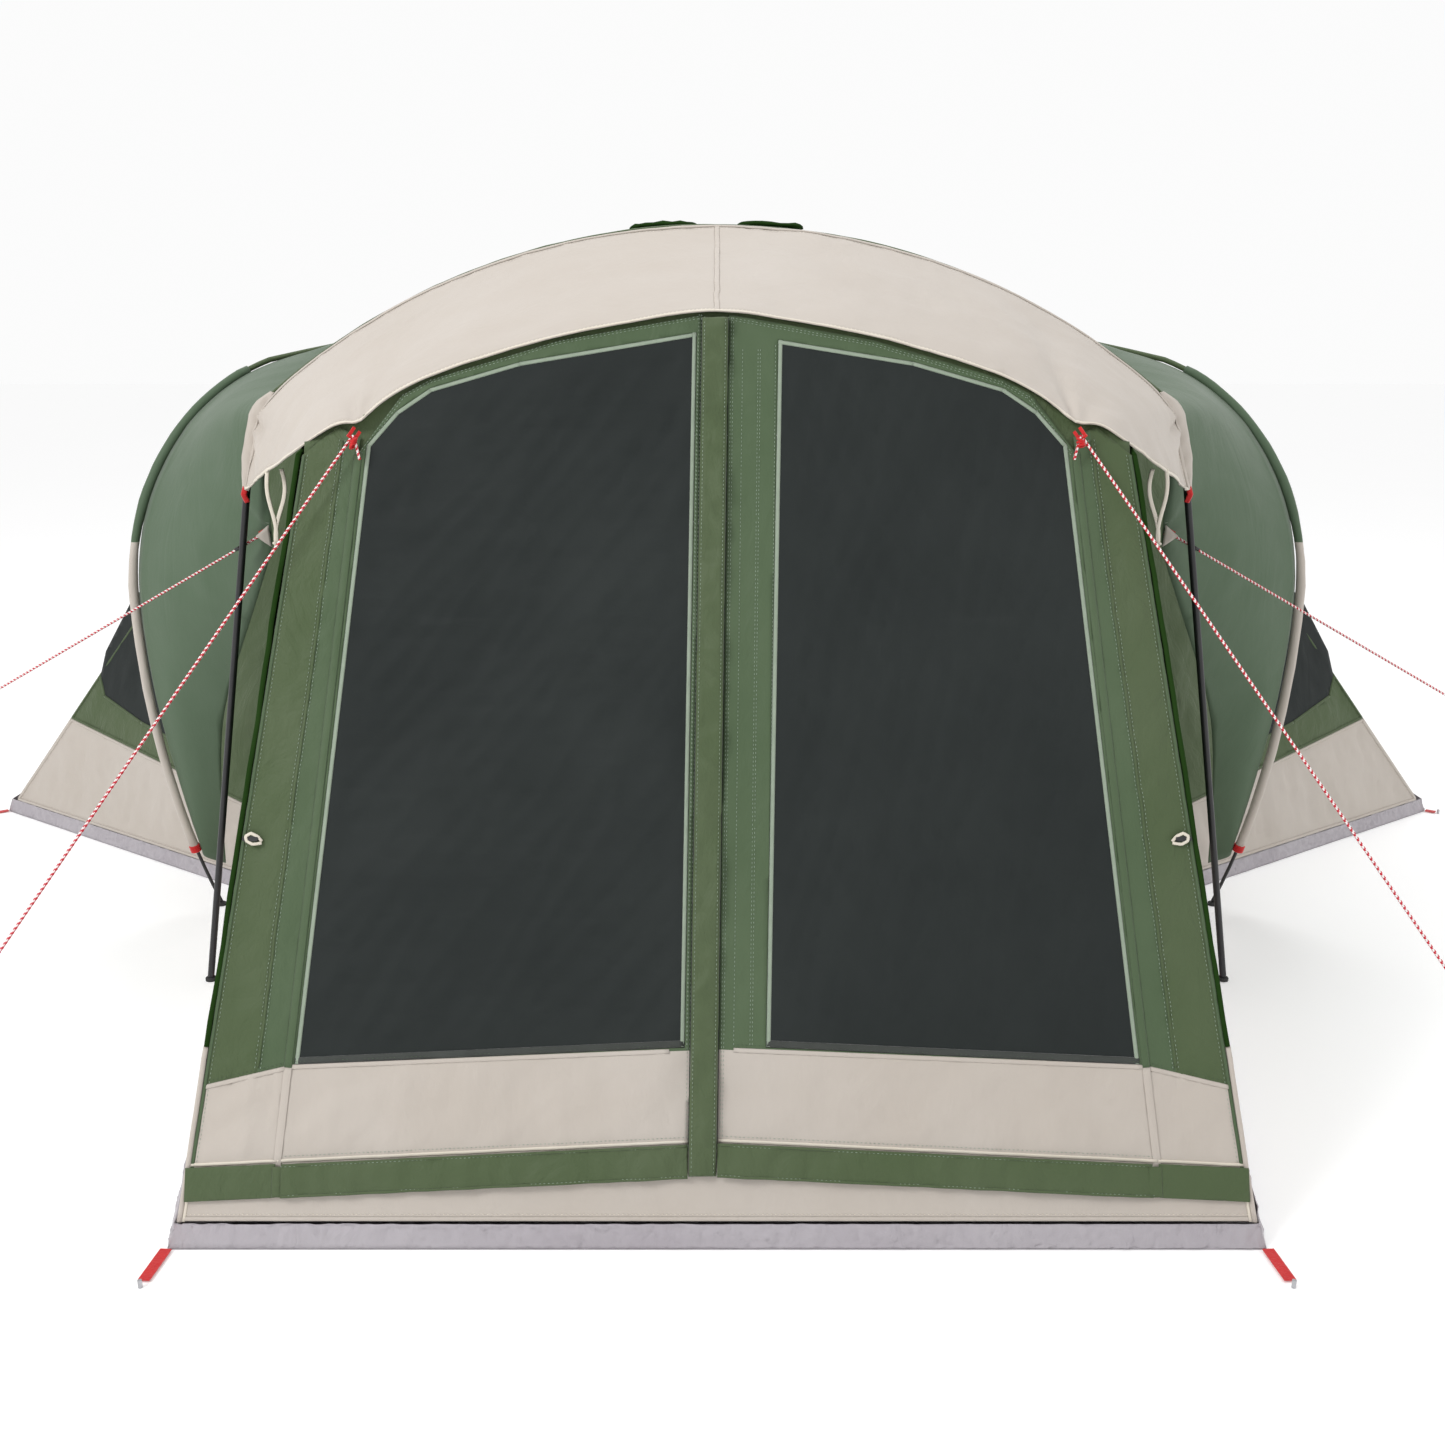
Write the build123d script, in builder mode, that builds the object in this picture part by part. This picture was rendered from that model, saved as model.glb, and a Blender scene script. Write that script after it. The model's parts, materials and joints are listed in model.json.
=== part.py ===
from build123d import *
from math import atan2, cos, degrees, pi, radians, sin, sqrt
import os

# Family tent: a dome on two crossing poles, a front living bay under a visor that hangs from a
# steel-legged arch, and a sleeping wing on each side.
# Millimetres. +Z up, X across (left wing is -X), the front door faces -Y.
# Depths are measured back from the plane of the front arch and turned into Y by at().

# ---------------------------------------------------------------- driving dimensions
ARCH_Y = -1275.0          # Y of the front arch, so that the tent's box is centred on the origin
CLOTH = 3.0               # thickness of every cloth solid
GAP = 1.5                 # seam gap between cloth solids

WALL_BASE = -1342.0       # foot of the front wall, ahead of the front arch
WALL_LEAN = 0.371         # the front wall leans back this much for each mm of height
BASE_HALF = 1130.0        # half-width of the front wall at the ground
EDGE_LEAN = 0.13          # its outer edges lean in this much for each mm of height
WALL_HALF = 1110.0        # half-width that the outer edges of the green strips start from
MESH_HALF, MESH_LEAN = 913.0, 0.0923
HINGE_MARGIN = 12.0       # green border between the mesh and the door's hinge line
TUB_HEIGHT = 50.0         # the groundsheet turns up this high
KICK_HEIGHT = 365.0       # top of the beige splash band
HEM_CENTRE, HEM_FALL = 190.0, 0.043   # height of the door hem at the middle, and its fall outwards
STORM_DROP = 52.0         # the bottom storm flaps hang this far below the hem
FLAP_LEFT, FLAP_RIGHT = -63.0, -2.0   # edges of the zip gap at the ground
FLAP_LEAN = 0.0155        # both edges drift to +X with height

EAVE = [(0.0, 1884.0), (345.0, 1824.0), (627.0, 1741.0), (735.0, 1684.0)]
GUY_X, GUY_Z = 776.0, 1630.0          # pull-out of the visor that the front guy ties to
NOTCH = (826.0, 1646.0)
BROW = (905.0, 1588.0)                # where the eave leaves the front wall
TIP = (1264.0, 1424.0)                # lower corners of the visor, in the arch plane
KNEE = (1212.0, 1646.0)               # where the arch meets the steel legs
ARCH_TOP = 2100.0
ARCH_R = 1845.0

LEG_FOOT, LEG_TOP = (1478.0, 0.0), (1243.0, 1560.0)
LEG_R, LEG_BORE = 9.5, 8.3
ROD_R = 5.5               # glass-fibre rods
ARCH_ROD_R = 7.0

DOME_DEPTH = 2240.0       # centre of the dome behind the front arch
FOOT_R = 2318.0           # radius of the circle through the dome's feet
BULGE_R, BULGE_Z = 2513.0, 1050.0
FOOT_ARC_R, SHOULDER_R = 2924.0, 738.5
SHOULDER_TURN = 72.0      # degrees of the shoulder arc
SLEEVE_R = 15.0

SIDE_MID = (1418.0, 0.0)              # groundsheet corners as (half-width, depth)
CORNER = (1662.0, 775.0)
STAKE = (2808.0, 1620.0)
REAR = (1150.0, 3960.0)
WING_TOP = (1600.0, 1300.0, 1500.0)
WING_KNOT = (1150.0, 1010.0, 1745.0)
REAR_LEAN = 0.274         # the rear wall leans forward this much for each mm of height

ROPE_R = 2.5
ROPE_LOOP = 6.5           # half-width of the rope's loops round pegs and tabs
PEG_R = 3.0
FRONT_ANCHOR = (1852.0, -1447.0)
SIDE_ANCHOR = (3530.0, 284.0)
HOOD_TAB = (1217.0, 15.0, 1311.0)
TAB_REACH = 105.0         # the corner loops reach this far out from the groundsheet

SIDES = {"left": -1, "right": 1}
os.makedirs("parts", exist_ok=True)
solids_made = []


# ---------------------------------------------------------------- helpers
def at(x, depth, z):
    """A point given by its distance behind the front arch."""
    return Vector(x, ARCH_Y + depth, z)


def save(builder, name):
    builder.part.label = name
    export_step(builder.part, f"parts/{name}.step")
    solids_made.append((name, builder.part.volume))


def rear_depth(depth):
    """The depth of a front point mirrored about the middle of the dome."""
    return 2 * DOME_DEPTH - depth


def cloth(rows, thickness=CLOTH):
    """A closed sheet of plane facets through rows of points, thickened along its own normals."""
    rows = [[Vector(*p) for p in row] for row in rows]
    high, wide = len(rows), len(rows[0])

    def normal(i, j):
        along = rows[i][min(j + 1, wide - 1)] - rows[i][max(j - 1, 0)]
        up = rows[min(i + 1, high - 1)][j] - rows[max(i - 1, 0)][j]
        return along.cross(up).normalized()

    back = [[p + normal(i, j) * thickness for j, p in enumerate(row)] for i, row in enumerate(rows)]
    faces = []

    def tile(a, b, c, d):
        for corners in ((a, b, c), (a, c, d)):
            faces.append(Face(Wire.make_polygon(corners, close=True)))

    for i in range(high - 1):
        for j in range(wide - 1):
            for sheet in (rows, back):
                tile(sheet[i][j], sheet[i][j + 1], sheet[i + 1][j + 1], sheet[i + 1][j])
    for j in range(wide - 1):
        for i in (0, high - 1):
            tile(rows[i][j], rows[i][j + 1], back[i][j + 1], back[i][j])
    for i in range(high - 1):
        for j in (0, wide - 1):
            tile(rows[i][j], rows[i + 1][j], back[i + 1][j], back[i][j])
    solid = Solid(Shell(faces))
    return solid if solid.volume > 0 else -solid


def between(first, last, steps, swell=(0, 0, 0)):
    """Rows of points from one edge to the other, swelling by a half sine in the middle."""
    rows = []
    for k in range(steps + 1):
        t = k / steps
        puff = Vector(*swell) * sin(pi * t)
        rows.append([Vector(*a) * (1 - t) + Vector(*b) * t + puff for a, b in zip(first, last)])
    return rows


def panel(points, thickness=CLOTH, holes=()):
    """A flat cloth panel through points that lie in one plane; it thickens towards the tent."""
    face = Face(Wire.make_polygon(points, close=True))
    normal = face.normal_at()
    inward = Vector(0, 0, 900) - face.center()
    solid = Solid.extrude(face, normal * (thickness if normal.dot(inward) > 0 else -thickness))
    for hole in holes:
        cut = Face(Wire.make_polygon(hole, close=True)).moved(Location(normal * -20))
        solid = solid - Solid.extrude(cut, normal * 40)
    return solid


# ---------------------------------------------------------------- front wall geometry
WALL_ANGLE = degrees(atan2(WALL_LEAN, 1.0))
SLOPE = sqrt(1 + WALL_LEAN**2)        # length along the wall for each mm of height
wall_plane = Plane(
    origin=at(0, WALL_BASE, 0),
    x_dir=(1, 0, 0),
    z_dir=(0, -cos(radians(WALL_ANGLE)), sin(radians(WALL_ANGLE))),
)


def on_wall(x, z):
    """Plane coordinates of a point of the front wall at height z."""
    return (x, z * SLOPE)


def wall_depth(z):
    return WALL_BASE + WALL_LEAN * z


def eave_z(x):
    """Height of the visor's edge above the front wall."""
    x = abs(x)
    for (x0, z0), (x1, z1) in zip(EAVE, EAVE[1:]):
        if x <= x1:
            return z0 + (z1 - z0) * (x - x0) / (x1 - x0)
    return EAVE[-1][1] - 0.62 * (x - EAVE[-1][0])


def hem_z(x):
    return HEM_CENTRE - HEM_FALL * abs(x)


def hinge_x(z):
    return MESH_HALF + HINGE_MARGIN - MESH_LEAN * z


def zip_edge(side, z):
    """X of the edge of the zip gap that a door leaf ends at."""
    return (FLAP_LEFT if side < 0 else FLAP_RIGHT) + FLAP_LEAN * z


LEAF_CLEAR = 12.0         # the doors stay this far below the visor
CHAMFER_LOW, CHAMFER_IN = 1578.0, 92.0   # the door's top corner is cut back under the guy pull-out


def leaf_outline(side):
    """Door leaf as (x, z) corners, from the hinge foot round to the hinge head."""
    inner_low = zip_edge(side, HEM_CENTRE)
    inner_high = zip_edge(side, 1860)
    low = hinge_x(150)
    head = hinge_x(CHAMFER_LOW)
    cut = head - CHAMFER_IN
    corners = [(side * (low - GAP), hem_z(low)), (inner_low, hem_z(inner_low))]
    corners += [(inner_high, eave_z(inner_high) - LEAF_CLEAR)]
    for x, _ in EAVE[1:3]:
        corners.append((side * x, eave_z(x) - LEAF_CLEAR))
    corners += [(side * cut, eave_z(cut) - LEAF_CLEAR), (side * (head - GAP), CHAMFER_LOW)]
    return corners


def mesh_outline(side):
    """Mesh window of a door leaf as (x, z) corners."""
    gap_low, gap_high = (67, 44) if side < 0 else (102, 134)
    top_drop = 47.0
    corners = [(side * (MESH_HALF - MESH_LEAN * 350), 350), (side * gap_low, 383)]
    corners += [(side * gap_high, eave_z(gap_high) - top_drop)]
    corners += [(side * 431, eave_z(431) - 32), (side * 627, eave_z(627) - 30)]
    corners += [(side * 700, eave_z(700) - 40), (side * 762, 1592)]
    return corners


# ---------------------------------------------------------------- frame: steel legs and front arch
for name, side in SIDES.items():
    foot = at(side * LEG_FOOT[0], 0, 12)
    head = at(side * LEG_TOP[0], 0, LEG_TOP[1])
    run = head - foot
    with BuildPart() as leg:
        with BuildSketch(Plane(origin=foot, z_dir=run)):
            Circle(LEG_R)
            Circle(LEG_BORE, mode=Mode.SUBTRACT)
        extrude(amount=run.length)
    save(leg, f"main_leg_{name}")

# rubber feet that the steel legs stand on
with BuildPart() as leg_feet:
    with BuildSketch():
        with Locations(*((side * LEG_FOOT[0], ARCH_Y) for side in (-1, 1))):
            Circle(16)
    extrude(amount=10)
    fillet(leg_feet.edges().group_by(Axis.Z)[-1], 3)
save(leg_feet, "leg_feet")

# elbows that turn the legs into the arch
ELBOW_CORNER, ELBOW_END = (1236.5, 1603.0), (1191.0, 1640.0)
with BuildPart() as elbows:
    for side in (-1, 1):
        head = at(side * LEG_TOP[0], 0, LEG_TOP[1] + 0.4)
        with BuildLine() as bend:
            corner = at(side * ELBOW_CORNER[0], 0, ELBOW_CORNER[1])
            FilletPolyline(head, corner, at(side * ELBOW_END[0], 0, ELBOW_END[1]), radius=25)
        with BuildSketch(Plane(origin=bend.line @ 0, z_dir=bend.line % 0)):
            Circle(LEG_R - 0.1)
        sweep(path=bend.wires()[0])
save(elbows, "arch_elbows")

arch_rod_r = ARCH_R - 18.0
ARCH_START = 40.6         # degrees from the top of the arch to the elbow
for name, side in SIDES.items():
    centre = at(0, 0, ARCH_TOP - ARCH_R)

    def arch_point(angle, radius=arch_rod_r):
        return centre + Vector(side * radius * sin(radians(angle)), 0, radius * cos(radians(angle)))

    with BuildPart() as rod:
        with BuildLine() as path:
            ThreePointArc(arch_point(0.9), arch_point(20), arch_point(ARCH_START - 0.6))
        with BuildSketch(Plane(origin=path.line @ 0, z_dir=path.line % 0)):
            Circle(ARCH_ROD_R)
        sweep()
    save(rod, f"front_arch_rod_{name}")

# steel ferrule that joins the two arch rods in the middle
with BuildPart() as arch_ferrule:
    with BuildSketch(Plane(origin=at(-28.3, 0, ARCH_TOP - 18.2), z_dir=(1, 0, 0))):
        Circle(ARCH_ROD_R + 1.5)
    extrude(amount=56.6)
save(arch_ferrule, "front_arch_ferrule")


# ---------------------------------------------------------------- frame: crossing dome poles
def pole_profile():
    """Arcs of half a dome pole from its foot to the crown, as (radius, height) points."""
    shoulder = (BULGE_R - SHOULDER_R, BULGE_Z)
    turn = radians(SHOULDER_TURN)
    end = (shoulder[0] + SHOULDER_R * cos(turn), shoulder[1] + SHOULDER_R * sin(turn))
    foot_mid = (BULGE_R - FOOT_ARC_R + sqrt(FOOT_ARC_R**2 - 525**2), BULGE_Z - 525)
    knee = (shoulder[0] + SHOULDER_R * cos(turn / 2), shoulder[1] + SHOULDER_R * sin(turn / 2))
    return (FOOT_R, 13.0), foot_mid, (BULGE_R, BULGE_Z), knee, end


CROWN_Z = 1935.0
diagonal = 1 / sqrt(2)


def pole_point(side, end, radius, z, lift=0.0):
    """A point over the diagonal; end is -1 for the front foot and 1 for the rear foot."""
    return at(side * radius * diagonal, DOME_DEPTH + end * radius * diagonal, z + lift)


for name, side, lift in (("left", -1, 0.0), ("right", 1, 2 * ROD_R + 1.0)):
    foot, foot_mid, bulge, knee, end = pole_profile()

    def over(half, spot, rise=0.0):
        return pole_point(side * -half, half, spot[0], spot[1], rise)

    crown = at(0, DOME_DEPTH, CROWN_Z + lift)
    haunch = (1100, 1884)
    with BuildPart() as pole:
        with BuildLine() as path:
            ThreePointArc(over(-1, foot), over(-1, foot_mid), over(-1, bulge))
            ThreePointArc(over(-1, bulge), over(-1, knee), over(-1, end))
            ThreePointArc(over(-1, end), over(-1, haunch, 0.7 * lift), crown)
            ThreePointArc(crown, over(1, haunch, 0.7 * lift), over(1, end))
            ThreePointArc(over(1, end), over(1, knee), over(1, bulge))
            ThreePointArc(over(1, bulge), over(1, foot_mid), over(1, foot))
        with BuildSketch(Plane(origin=path.line @ 0, z_dir=path.line % 0)):
            Circle(ROD_R)
        sweep()
    save(pole, f"dome_pole_{name}")


# beige sleeve that the front half of each dome pole runs in
SLEEVE_LOW = 205.0
low = (BULGE_R - FOOT_ARC_R + sqrt(FOOT_ARC_R**2 - (BULGE_Z - SLEEVE_LOW) ** 2), SLEEVE_LOW)
middle_z = (SLEEVE_LOW + BULGE_Z) / 2
middle = (BULGE_R - FOOT_ARC_R + sqrt(FOOT_ARC_R**2 - (BULGE_Z - middle_z) ** 2), middle_z)
_, _, bulge, knee, _ = pole_profile()
turn = radians(SHOULDER_TURN - 6)
end = (BULGE_R - SHOULDER_R + SHOULDER_R * cos(turn), BULGE_Z + SHOULDER_R * sin(turn))
with BuildPart() as sleeves:
    for side in (-1, 1):
        with BuildLine() as path:
            ThreePointArc(*(pole_point(side, -1, *p) for p in (low, middle, bulge)))
            ThreePointArc(*(pole_point(side, -1, *p) for p in (bulge, knee, end)))
        with BuildSketch(Plane(origin=path.line @ 0, z_dir=path.line % 0)):
            Circle(SLEEVE_R)
            Circle(ROD_R + 3, mode=Mode.SUBTRACT)
        sweep(path=path.wires()[0])
save(sleeves, "pole_sleeves")

# steel clip that holds the two dome poles together at the crown
with BuildPart() as crown_clip:
    with BuildSketch(Plane.XY.offset(CROWN_Z - 16)):
        with Locations((0, ARCH_Y + DOME_DEPTH)):
            Circle(20)
    extrude(amount=9)
save(crown_clip, "crown_clip")

# the four feet that the dome poles stand in
with BuildPart() as pole_feet:
    with BuildSketch():
        for side in (-1, 1):
            for end in (-1, 1):
                spot = pole_point(side, end, FOOT_R, 0)
                with Locations((spot.X, spot.Y)):
                    Circle(14)
    extrude(amount=10)
save(pole_feet, "pole_feet")


# ---------------------------------------------------------------- visor and roof
def eave_point(x, z):
    return (x, wall_depth(z) - LEAF_CLEAR, z)


def arch_spot(angle, depth=0.0):
    return (ARCH_R * sin(radians(angle)), depth, ARCH_TOP - ARCH_R + ARCH_R * cos(radians(angle)))


EAR_DEPTH = -16.0         # the visor's ears hang in front of the steel legs
brow = eave_point(*BROW)
tip = (TIP[0], EAR_DEPTH, TIP[1])


def along_ear(t):
    return tuple(a * (1 - t) + b * t for a, b in zip((TIP[0] - 6, EAR_DEPTH - 14, TIP[1] + 2), brow))


crest_half = [tip, (1238, EAR_DEPTH, 1535), (KNEE[0], EAR_DEPTH, KNEE[1])]
crest_half += [arch_spot(angle) for angle in (36, 30.5, 26.5, 24, 20, 15.5, 11, 5.5, 0)]
guy_pull = (GUY_X, wall_depth(GUY_Z) - 26, GUY_Z)
eave_half = [along_ear(0), along_ear(0.33), along_ear(0.66), brow, eave_point(*NOTCH), guy_pull]
eave_half += [eave_point(x, eave_z(x)) for x in (735, 627, 480, 345, 172, 0)]


def both_halves(half):
    """An outer-to-middle list of points of the right half, mirrored into a left-to-right row."""
    left = [at(-x, d, z) for x, d, z in half]
    return left + [at(x, d, z) for x, d, z in reversed(half[:-1])]


with BuildPart() as visor:
    add(cloth(between(both_halves(eave_half), both_halves(crest_half), 3), -CLOTH))
save(visor, "visor")

# roof stations: depth, half-width, height at the edge, height in the middle
ROOF = [
    (3, 1208, 1650, 2100),
    (350, 1190, 1722, 2092),
    (700, 1170, 1790, 2068),
    (1030, 1155, 1848, 2042),
    (1500, 1145, 1856, 2008),
    (2240, 1140, 1856, 1992),
    (2980, 1145, 1856, 1985),
    (3450, 1155, 1848, 1950),
]
ROOF_COLUMNS = 14


def roof_row(depth, half, edge, middle, lift=0.0, reach=1.0):
    row = []
    for k in range(ROOF_COLUMNS + 1):
        x = (2 * k / ROOF_COLUMNS - 1) * reach
        row.append(at(half * x, depth, edge + (middle - edge) * (1 - x * x) + lift))
    return row


with BuildPart() as roof:
    rows = [roof_row(*station) for station in ROOF]
    rows[0] = [at(x, 3, z) for x, _, z in
               (tuple(arch_spot(41 * (2 * k / ROOF_COLUMNS - 1))) for k in range(ROOF_COLUMNS + 1))]
    add(cloth(rows, -CLOTH))
save(roof, "roof")

# raised mesh-fronted vents on the roof, just behind the arch
VENT_FRONT, VENT_DEPTH, VENT_RISE = 150.0, 190.0, 26.0
with BuildPart() as vents:
    for side in (-1, 1):
        rows = []
        for depth in (VENT_FRONT, VENT_FRONT + VENT_DEPTH):
            across = sorted((side * 45, side * 145, side * 245))
            rows.append([at(x, depth, 2108 - 0.00016 * x * x - 0.02 * depth) for x in across])
        add(cloth(rows, VENT_RISE))
save(vents, "roof_vents")


# ---------------------------------------------------------------- side hoods
HOOD_EDGE = [
    (1610, 590, 150), (1572, 485, 400), (1526, 405, 684), (1427, 285, 875), (1332, 165, 1042),
    (1275, 95, 1144), (1218, 30, 1251), (1212, 22, 1300), (1214, 22, 1365), (1228, 26, 1424),
    (1212, 26, 1535), (1218, 26, 1628), (1214, 150, 1666), (1206, 350, 1700), (1190, 700, 1768),
    (1180, 900, 1800),
]
HOOD_POLE_Z = [215, 400, 684, 875, 1042, 1150, 1255, 1330, 1400, 1470, 1540, 1600, 1680, 1745]


def pole_radius(z):
    """Radius of the dome pole at a height below its shoulder's end."""
    if z < BULGE_Z:
        return BULGE_R - FOOT_ARC_R + sqrt(FOOT_ARC_R**2 - (BULGE_Z - z) ** 2)
    return BULGE_R - SHOULDER_R + sqrt(SHOULDER_R**2 - (z - BULGE_Z) ** 2)


SEAM_OFF = 25.0           # hoods stop this far from the axis of the pole
pole_spots = [(pole_radius(z), z) for z in HOOD_POLE_Z] + [(1840, 1782), (1730, 1797)]
for name, side in SIDES.items():
    free = [at(side * x, d, z) for x, d, z in HOOD_EDGE]
    bound = []
    for near, (radius, z) in zip(free, pole_spots):
        axis_point = pole_point(side, -1, radius, z)
        bound.append(axis_point + (near - axis_point).normalized() * SEAM_OFF)
    with BuildPart() as hood:
        rows = between(free, bound, 3, swell=(side * 22, -22, 8))
        add(cloth(rows, CLOTH * side))
    save(hood, f"side_hood_{name}")


# ---------------------------------------------------------------- front wall
def wall_panel(corners, offset=0.0, thickness=CLOTH, holes=()):
    """A flat piece of the front wall; offset is the height of its face off the wall's face."""
    with BuildPart() as piece:
        with BuildSketch(wall_plane.offset(offset)):
            Polygon(*(on_wall(x, z) for x, z in corners), align=None)
            for hole in holes:
                Polygon(*(on_wall(x, z) for x, z in hole), align=None, mode=Mode.SUBTRACT)
        extrude(amount=-thickness)
    return piece


def edge_x(z):
    return WALL_HALF - EDGE_LEAN * z


WALL_LOW = TUB_HEIGHT + 3
sill_half = [(edge_x(WALL_LOW), WALL_LOW), (edge_x(145), hem_z(edge_x(145)) - GAP)]
sill_corners = [(-x, z) for x, z in sill_half] + [(0, HEM_CENTRE - GAP)] + sill_half[::-1]
sill = wall_panel(sill_corners)
save(sill, "front_sill")

FLAP_OFF, FLAP_THICK = 9.0, 2.0
FLAP_SWING = 13.5         # the doors' flaps stop this far inside the hinge lines, to swing clear
for name, side in SIDES.items():
    low, head = hinge_x(150), hinge_x(CHAMFER_LOW)
    strip = [(low, hem_z(low)), (head, CHAMFER_LOW), (GUY_X, 1608), (NOTCH[0], 1630)]
    strip += [(edge_x(1570) - 4, 1570), (edge_x(145), hem_z(edge_x(145)))]
    save(wall_panel([(side * x, z) for x, z in strip]), f"front_side_strip_{name}")

    outline, window = leaf_outline(side), mesh_outline(side)
    save(wall_panel(outline, holes=[window]), f"door_leaf_{name}")
    centre_x = sum(x for x, z in window) / len(window)
    centre_z = sum(z for x, z in window) / len(window)
    shrunk = [(centre_x + (x - centre_x) * 0.997, centre_z + (z - centre_z) * 0.998)
              for x, z in window]
    save(wall_panel(shrunk, offset=-1, thickness=1), f"door_mesh_{name}")

    inner = zip_edge(side, 150)
    outer = side * (low - FLAP_SWING)
    flap = [(outer, hem_z(low) + 12), (inner, hem_z(inner) + 12)]
    flap += [(inner, hem_z(inner) - STORM_DROP), (outer, hem_z(low) - STORM_DROP)]
    save(wall_panel(flap, FLAP_OFF, FLAP_THICK), f"hem_storm_flap_{name}")

outer, low = edge_x(100), hinge_x(150)
flap = [(low, hem_z(low) + 12), (outer, hem_z(outer) + 12)]
flap += [(outer, hem_z(outer) - STORM_DROP), (low, hem_z(low) - STORM_DROP)]
with BuildPart() as corner_flaps:
    with BuildSketch(wall_plane.offset(FLAP_OFF)):
        for side in (-1, 1):
            Polygon(*(on_wall(side * x, z) for x, z in flap), align=None)
    extrude(amount=-FLAP_THICK)
save(corner_flaps, "corner_storm_flaps")


def zip_strip(low, high, inset_left, inset_right):
    """A strip of the zip gap between two heights."""
    return [(zip_edge(-1, low) + inset_left, low), (zip_edge(1, low) - inset_right, low),
            (zip_edge(1, high) - inset_right, high), (zip_edge(-1, high) + inset_left, high)]


save(wall_panel(zip_strip(139, 1858, GAP, GAP), FLAP_OFF, FLAP_THICK), "centre_storm_flap")
save(wall_panel(zip_strip(HEM_CENTRE + 2, 1860, GAP, 0.4), -1.2, 1.8), "centre_zip")
hem_reach = hinge_x(150) - 10
zip_corners = [(-hem_reach, hem_z(hem_reach) - 14), (0, HEM_CENTRE - 14)]
zip_corners += [(hem_reach, hem_z(hem_reach) - 14), (hem_reach, hem_z(hem_reach) + 14)]
zip_corners += [(0, HEM_CENTRE + 14), (-hem_reach, hem_z(hem_reach) + 14)]
save(wall_panel(zip_corners, -3.6, 1.6), "hem_zip")


def slider(x, z, offset, thickness):
    """Zip slider: a rounded body with a narrow pull below it."""
    with BuildPart() as piece:
        with BuildSketch(wall_plane.offset(offset)):
            with Locations(on_wall(x, z)):
                RectangleRounded(13, 19, 4)
        extrude(amount=thickness)
    return piece


save(slider(-30, HEM_CENTRE + 20, -0.9, 5.6), "centre_zip_slider")
for name, side in SIDES.items():
    x = -32 + side * 16
    save(slider(x, hem_z(x) - 14, 0.4, 5), f"hem_zip_slider_{name}")


# ---------------------------------------------------------------- bay side walls
def wing_depth(x, z):
    """Depth of the wing's flat front wall at half-width x and height z."""
    across = Vector(STAKE[0] - CORNER[0], STAKE[1] - CORNER[1], 0)
    up = Vector(WING_TOP[0] - CORNER[0], WING_TOP[1] - CORNER[1], WING_TOP[2])
    normal = across.cross(up)
    return CORNER[1] - (normal.X * (x - CORNER[0]) + normal.Z * z) / normal.Y


KNOT = (WING_KNOT[0], wing_depth(WING_KNOT[0], WING_KNOT[2]), WING_KNOT[2])


def line_at(low, high, z):
    """The point at height z of the line between two (x, depth, z) points."""
    t = (z - low[2]) / (high[2] - low[2])
    return tuple(a + (b - a) * t for a, b in zip(low, high))


def bay_rows(side, low, share):
    """Rows of the bay's side wall, from a height up to a share of each edge line."""
    front = ((edge_x(0) + 4, WALL_BASE, 0), (edge_x(1570) + 4, wall_depth(1570), 1570))
    middle = ((SIDE_MID[0] - 3, SIDE_MID[1], 0), (1006, 0, 1650))
    back = ((CORNER[0] - 8, CORNER[1] - 8, 0), (KNOT[0] - 8, KNOT[1] - 8, KNOT[2]))
    rows = []
    for k in range(4):
        row = []
        for start, end in (front, middle, back):
            base, top = low, share * end[2]
            row.append(line_at(start, end, base + (top - base) * k / 3))
        middles = [tuple((a + b) / 2 for a, b in zip(row[i], row[i + 1])) for i in (0, 1)]
        full = (row[0], middles[0], row[1], middles[1], row[2])
        rows.append([at(side * x, d, z) for x, d, z in full])
    return rows


BAND_TOP = KICK_HEIGHT + 18
for name, side in SIDES.items():
    with BuildPart() as wall:
        add(cloth(bay_rows(side, BAND_TOP + 2, 1), CLOTH * -side))
    save(wall, f"bay_side_wall_{name}")

with BuildPart() as mudwalls:
    for side in (-1, 1):
        rows = [bay_rows(side, z, 1)[0] for z in (WALL_LOW, (WALL_LOW + BAND_TOP) / 2, BAND_TOP)]
        add(cloth(rows, CLOTH * -side))
save(mudwalls, "bay_mudwalls")


# ---------------------------------------------------------------- wings
def mud_z(x):
    return 275 + 0.15 * (x - CORNER[0])


def ridge_line(z):
    """The wing's sloping edge from the stake to its top, at height z."""
    return line_at((STAKE[0], STAKE[1], 0), WING_TOP, z)


def inner_line(z):
    return line_at((CORNER[0], CORNER[1], 0), KNOT, z)


def wing_spot(x, z):
    return (x, wing_depth(x, z), z)


WING_WINDOW = [(1830, 395), (2118, 450), (2310, 510), (2340, 577), (2318, 670), (2200, 860),
               (2010, 1050), (1870, 1080), (1800, 980)]
EDGE_BACK = 8.0           # panels that meet at a wing's edges stop short of them


def narrowed(points, by):
    """(x, depth, z) corners of a flat panel moved in towards its middle by about a distance."""
    middle = tuple(sum(c) / len(points) for c in zip(*points))
    moved = []
    for p in points:
        reach = sqrt(sum((a - b) ** 2 for a, b in zip(p, middle)))
        moved.append(tuple(b + (a - b) * (1 - by / reach) for a, b in zip(p, middle)))
    return moved


def place(side, points, mirrored=False):
    """(x, depth, z) points of one wing; mirrored ones lie behind the middle of the dome."""
    return [at(side * x, rear_depth(d) if mirrored else d, z) for x, d, z in points]


def folded(edge):
    """The front half of a wing's edge, as (x, depth, z) points, with its rear half added."""
    return edge + [(x, rear_depth(d), z) for x, d, z in reversed(edge)]


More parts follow.
